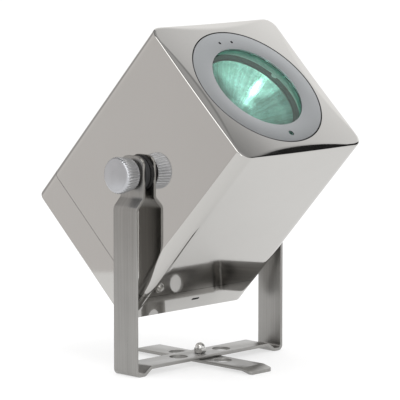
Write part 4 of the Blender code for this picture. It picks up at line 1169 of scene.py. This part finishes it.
def make_cards():
    beam = Vector((0, -math.cos(BEAM_ELEVATION), math.sin(BEAM_ELEVATION)))
    pivot = PIVOT.translation
    face = pivot + beam * local_box("housing_shell")[1].z
    mirrored = 2 * BACK.dot(beam) * beam - BACK
    side_run = Vector((0.24, 0.96, -0.12))
    up_run = mirrored.cross(side_run).normalized()
    side_run = up_run.cross(mirrored).normalized()
    grade = (0.874 * side_run - 0.485 * up_run).normalized()
    cross = mirrored.cross(grade).normalized()
    distance = 0.8
    make_card("card_above_front", face + mirrored * distance, grade, cross, (2.0, 2.0),
              [(-0.04, 0.36), (-0.02, 0.57), (-0.005, 0.80), (0.02, 0.94), (0.06, 1.08),
               (0.105, 1.36)])

    def border_card(name, edge, corner, nearer, offset, size, ramp):
        """A card that the polished-down border reflects, placed by one edge. Edge and corner
        are along side_run and up_run, and the offset is out from the edge and along it."""
        run = (edge[0] * side_run + edge[1] * up_run).normalized()
        out = run.cross(mirrored).normalized()
        if out.dot(side_run) > 0:
            out = -out
        start = face + mirrored * (distance - nearer) + corner[0] * side_run + corner[1] * up_run
        make_card(name, start + out * offset[0] + run * offset[1], out, run, size, ramp)

    border_card("card_below_front", (0.052, -0.144), (-0.072, -0.094), 0.02, (0.35, 0.28),
                (0.7, 0.62), [(-0.35, 0.02)])
    border_card("card_left_of_front", (0.066, 0.072), (-0.036, 0.094), 0.03, (0.20, 0.12),
                (0.4, 0.60), [(-0.2, 0.45), (-0.16, 0.56), (0.2, 0.50)])
    # What the left side of the head and the arms mirror.
    behind = Vector((-0.707, 0.694, -0.02)).normalized()
    middle = Vector((0, CENTRE_Y, 0)) + behind * 0.65
    middle.z = STRAP_LOW.z + 0.60
    make_card("card_behind_left", middle, Vector((0.70, 0.707, 0)), Vector((0, 0, 1)), (2.4, 1.2),
              [(-0.25, 0.80), (0.10, 0.88), (0.28, 0.92), (0.50, 0.50)], (1.0, 0.975, 0.96))
    # The dim part of the room above, which the dish and the arms' joggles mirror.
    above = Vector((-0.40, 0.42, 0.78)).normalized()
    run = Vector((0.72, -0.69, 0)).normalized()
    make_card("card_overhead_left", pivot + above * 1.2, run, above.cross(run),
              (2.0, 1.9), [(-1.0, 0.14), (1.0, 0.36)])
    # A slanting strip lamp in front, which makes the streak across the dish. Only rays that
    # come out through the glass see it.
    lamp_start = Vector((-0.46, -0.79, 0.40))
    lamp_end = Vector((0.20, -0.57, 0.80))
    run = lamp_end - lamp_start
    middle = pivot + (lamp_start + lamp_end) / 2 * 3.0
    strip = make_card("card_strip_lamp", middle, run, run.cross(lamp_start + lamp_end), (2.4, 0.34),
                      [(-1.2, 6.0), (-0.85, 22.0), (-0.55, 15.0), (-0.30, 4.0), (0.75, 3.0),
                       (0.95, 17.0), (1.2, 22.0)])
    strip.visible_glossy = False
    # A small bright panel high on the left, which the tight fold beside the front mirrors. Rays
    # from the dish pass it by.
    high_left = Vector((-0.60, -0.22, 0.77)).normalized()
    run = Vector((0.77, -0.64, 0)).normalized()
    fold_light = make_card("card_high_left", pivot + high_left * 1.1, run,
                           high_left.cross(run), (0.75, 0.75), [(-0.4, 2.6)])
    fold_light.visible_transmission = False
    # A soft panel beside the camera for the knobs' flutes.
    soft = pivot + Vector((-0.62, -0.75, 0.20)).normalized() * 3.0
    make_card("card_soft_front", soft, Vector((0.77, -0.64, 0)), Vector((0, 0, 1)), (1.0, 1.4),
              [(-0.5, 2.4), (0.0, 3.4), (0.5, 2.4)])


def make_lights():
    for name, place, size, power in (
            ("light_overhead", (-0.25, -0.35, 1.9), 0.9, 9.0),
            ("light_right", (1.9, -0.9, 1.5), 1.2, 4.0)):
        data = bpy.data.lights.new(name, "AREA")
        data.shape = "SQUARE"
        data.size = size
        data.energy = power
        aim(add_object(name, data), place, LIT_POINT - Vector(place))


def main():
    make_camera()
    make_housing()
    make_rear_cover()
    make_bezel()
    make_lock_screw()
    make_glass()
    make_seat_seal()
    make_reflector()
    make_cover_screws()
    make_cover_gland()
    make_cap_nut()
    make_centre_bolt()
    for side, sign in SIDES.items():
        make_washers(side, sign)
        make_knob(side, sign)
    make_bracket()
    make_cross_strap()
    finish_cad_nodes()
    make_floor()
    make_world()
    make_cards()
    make_lights()


main()
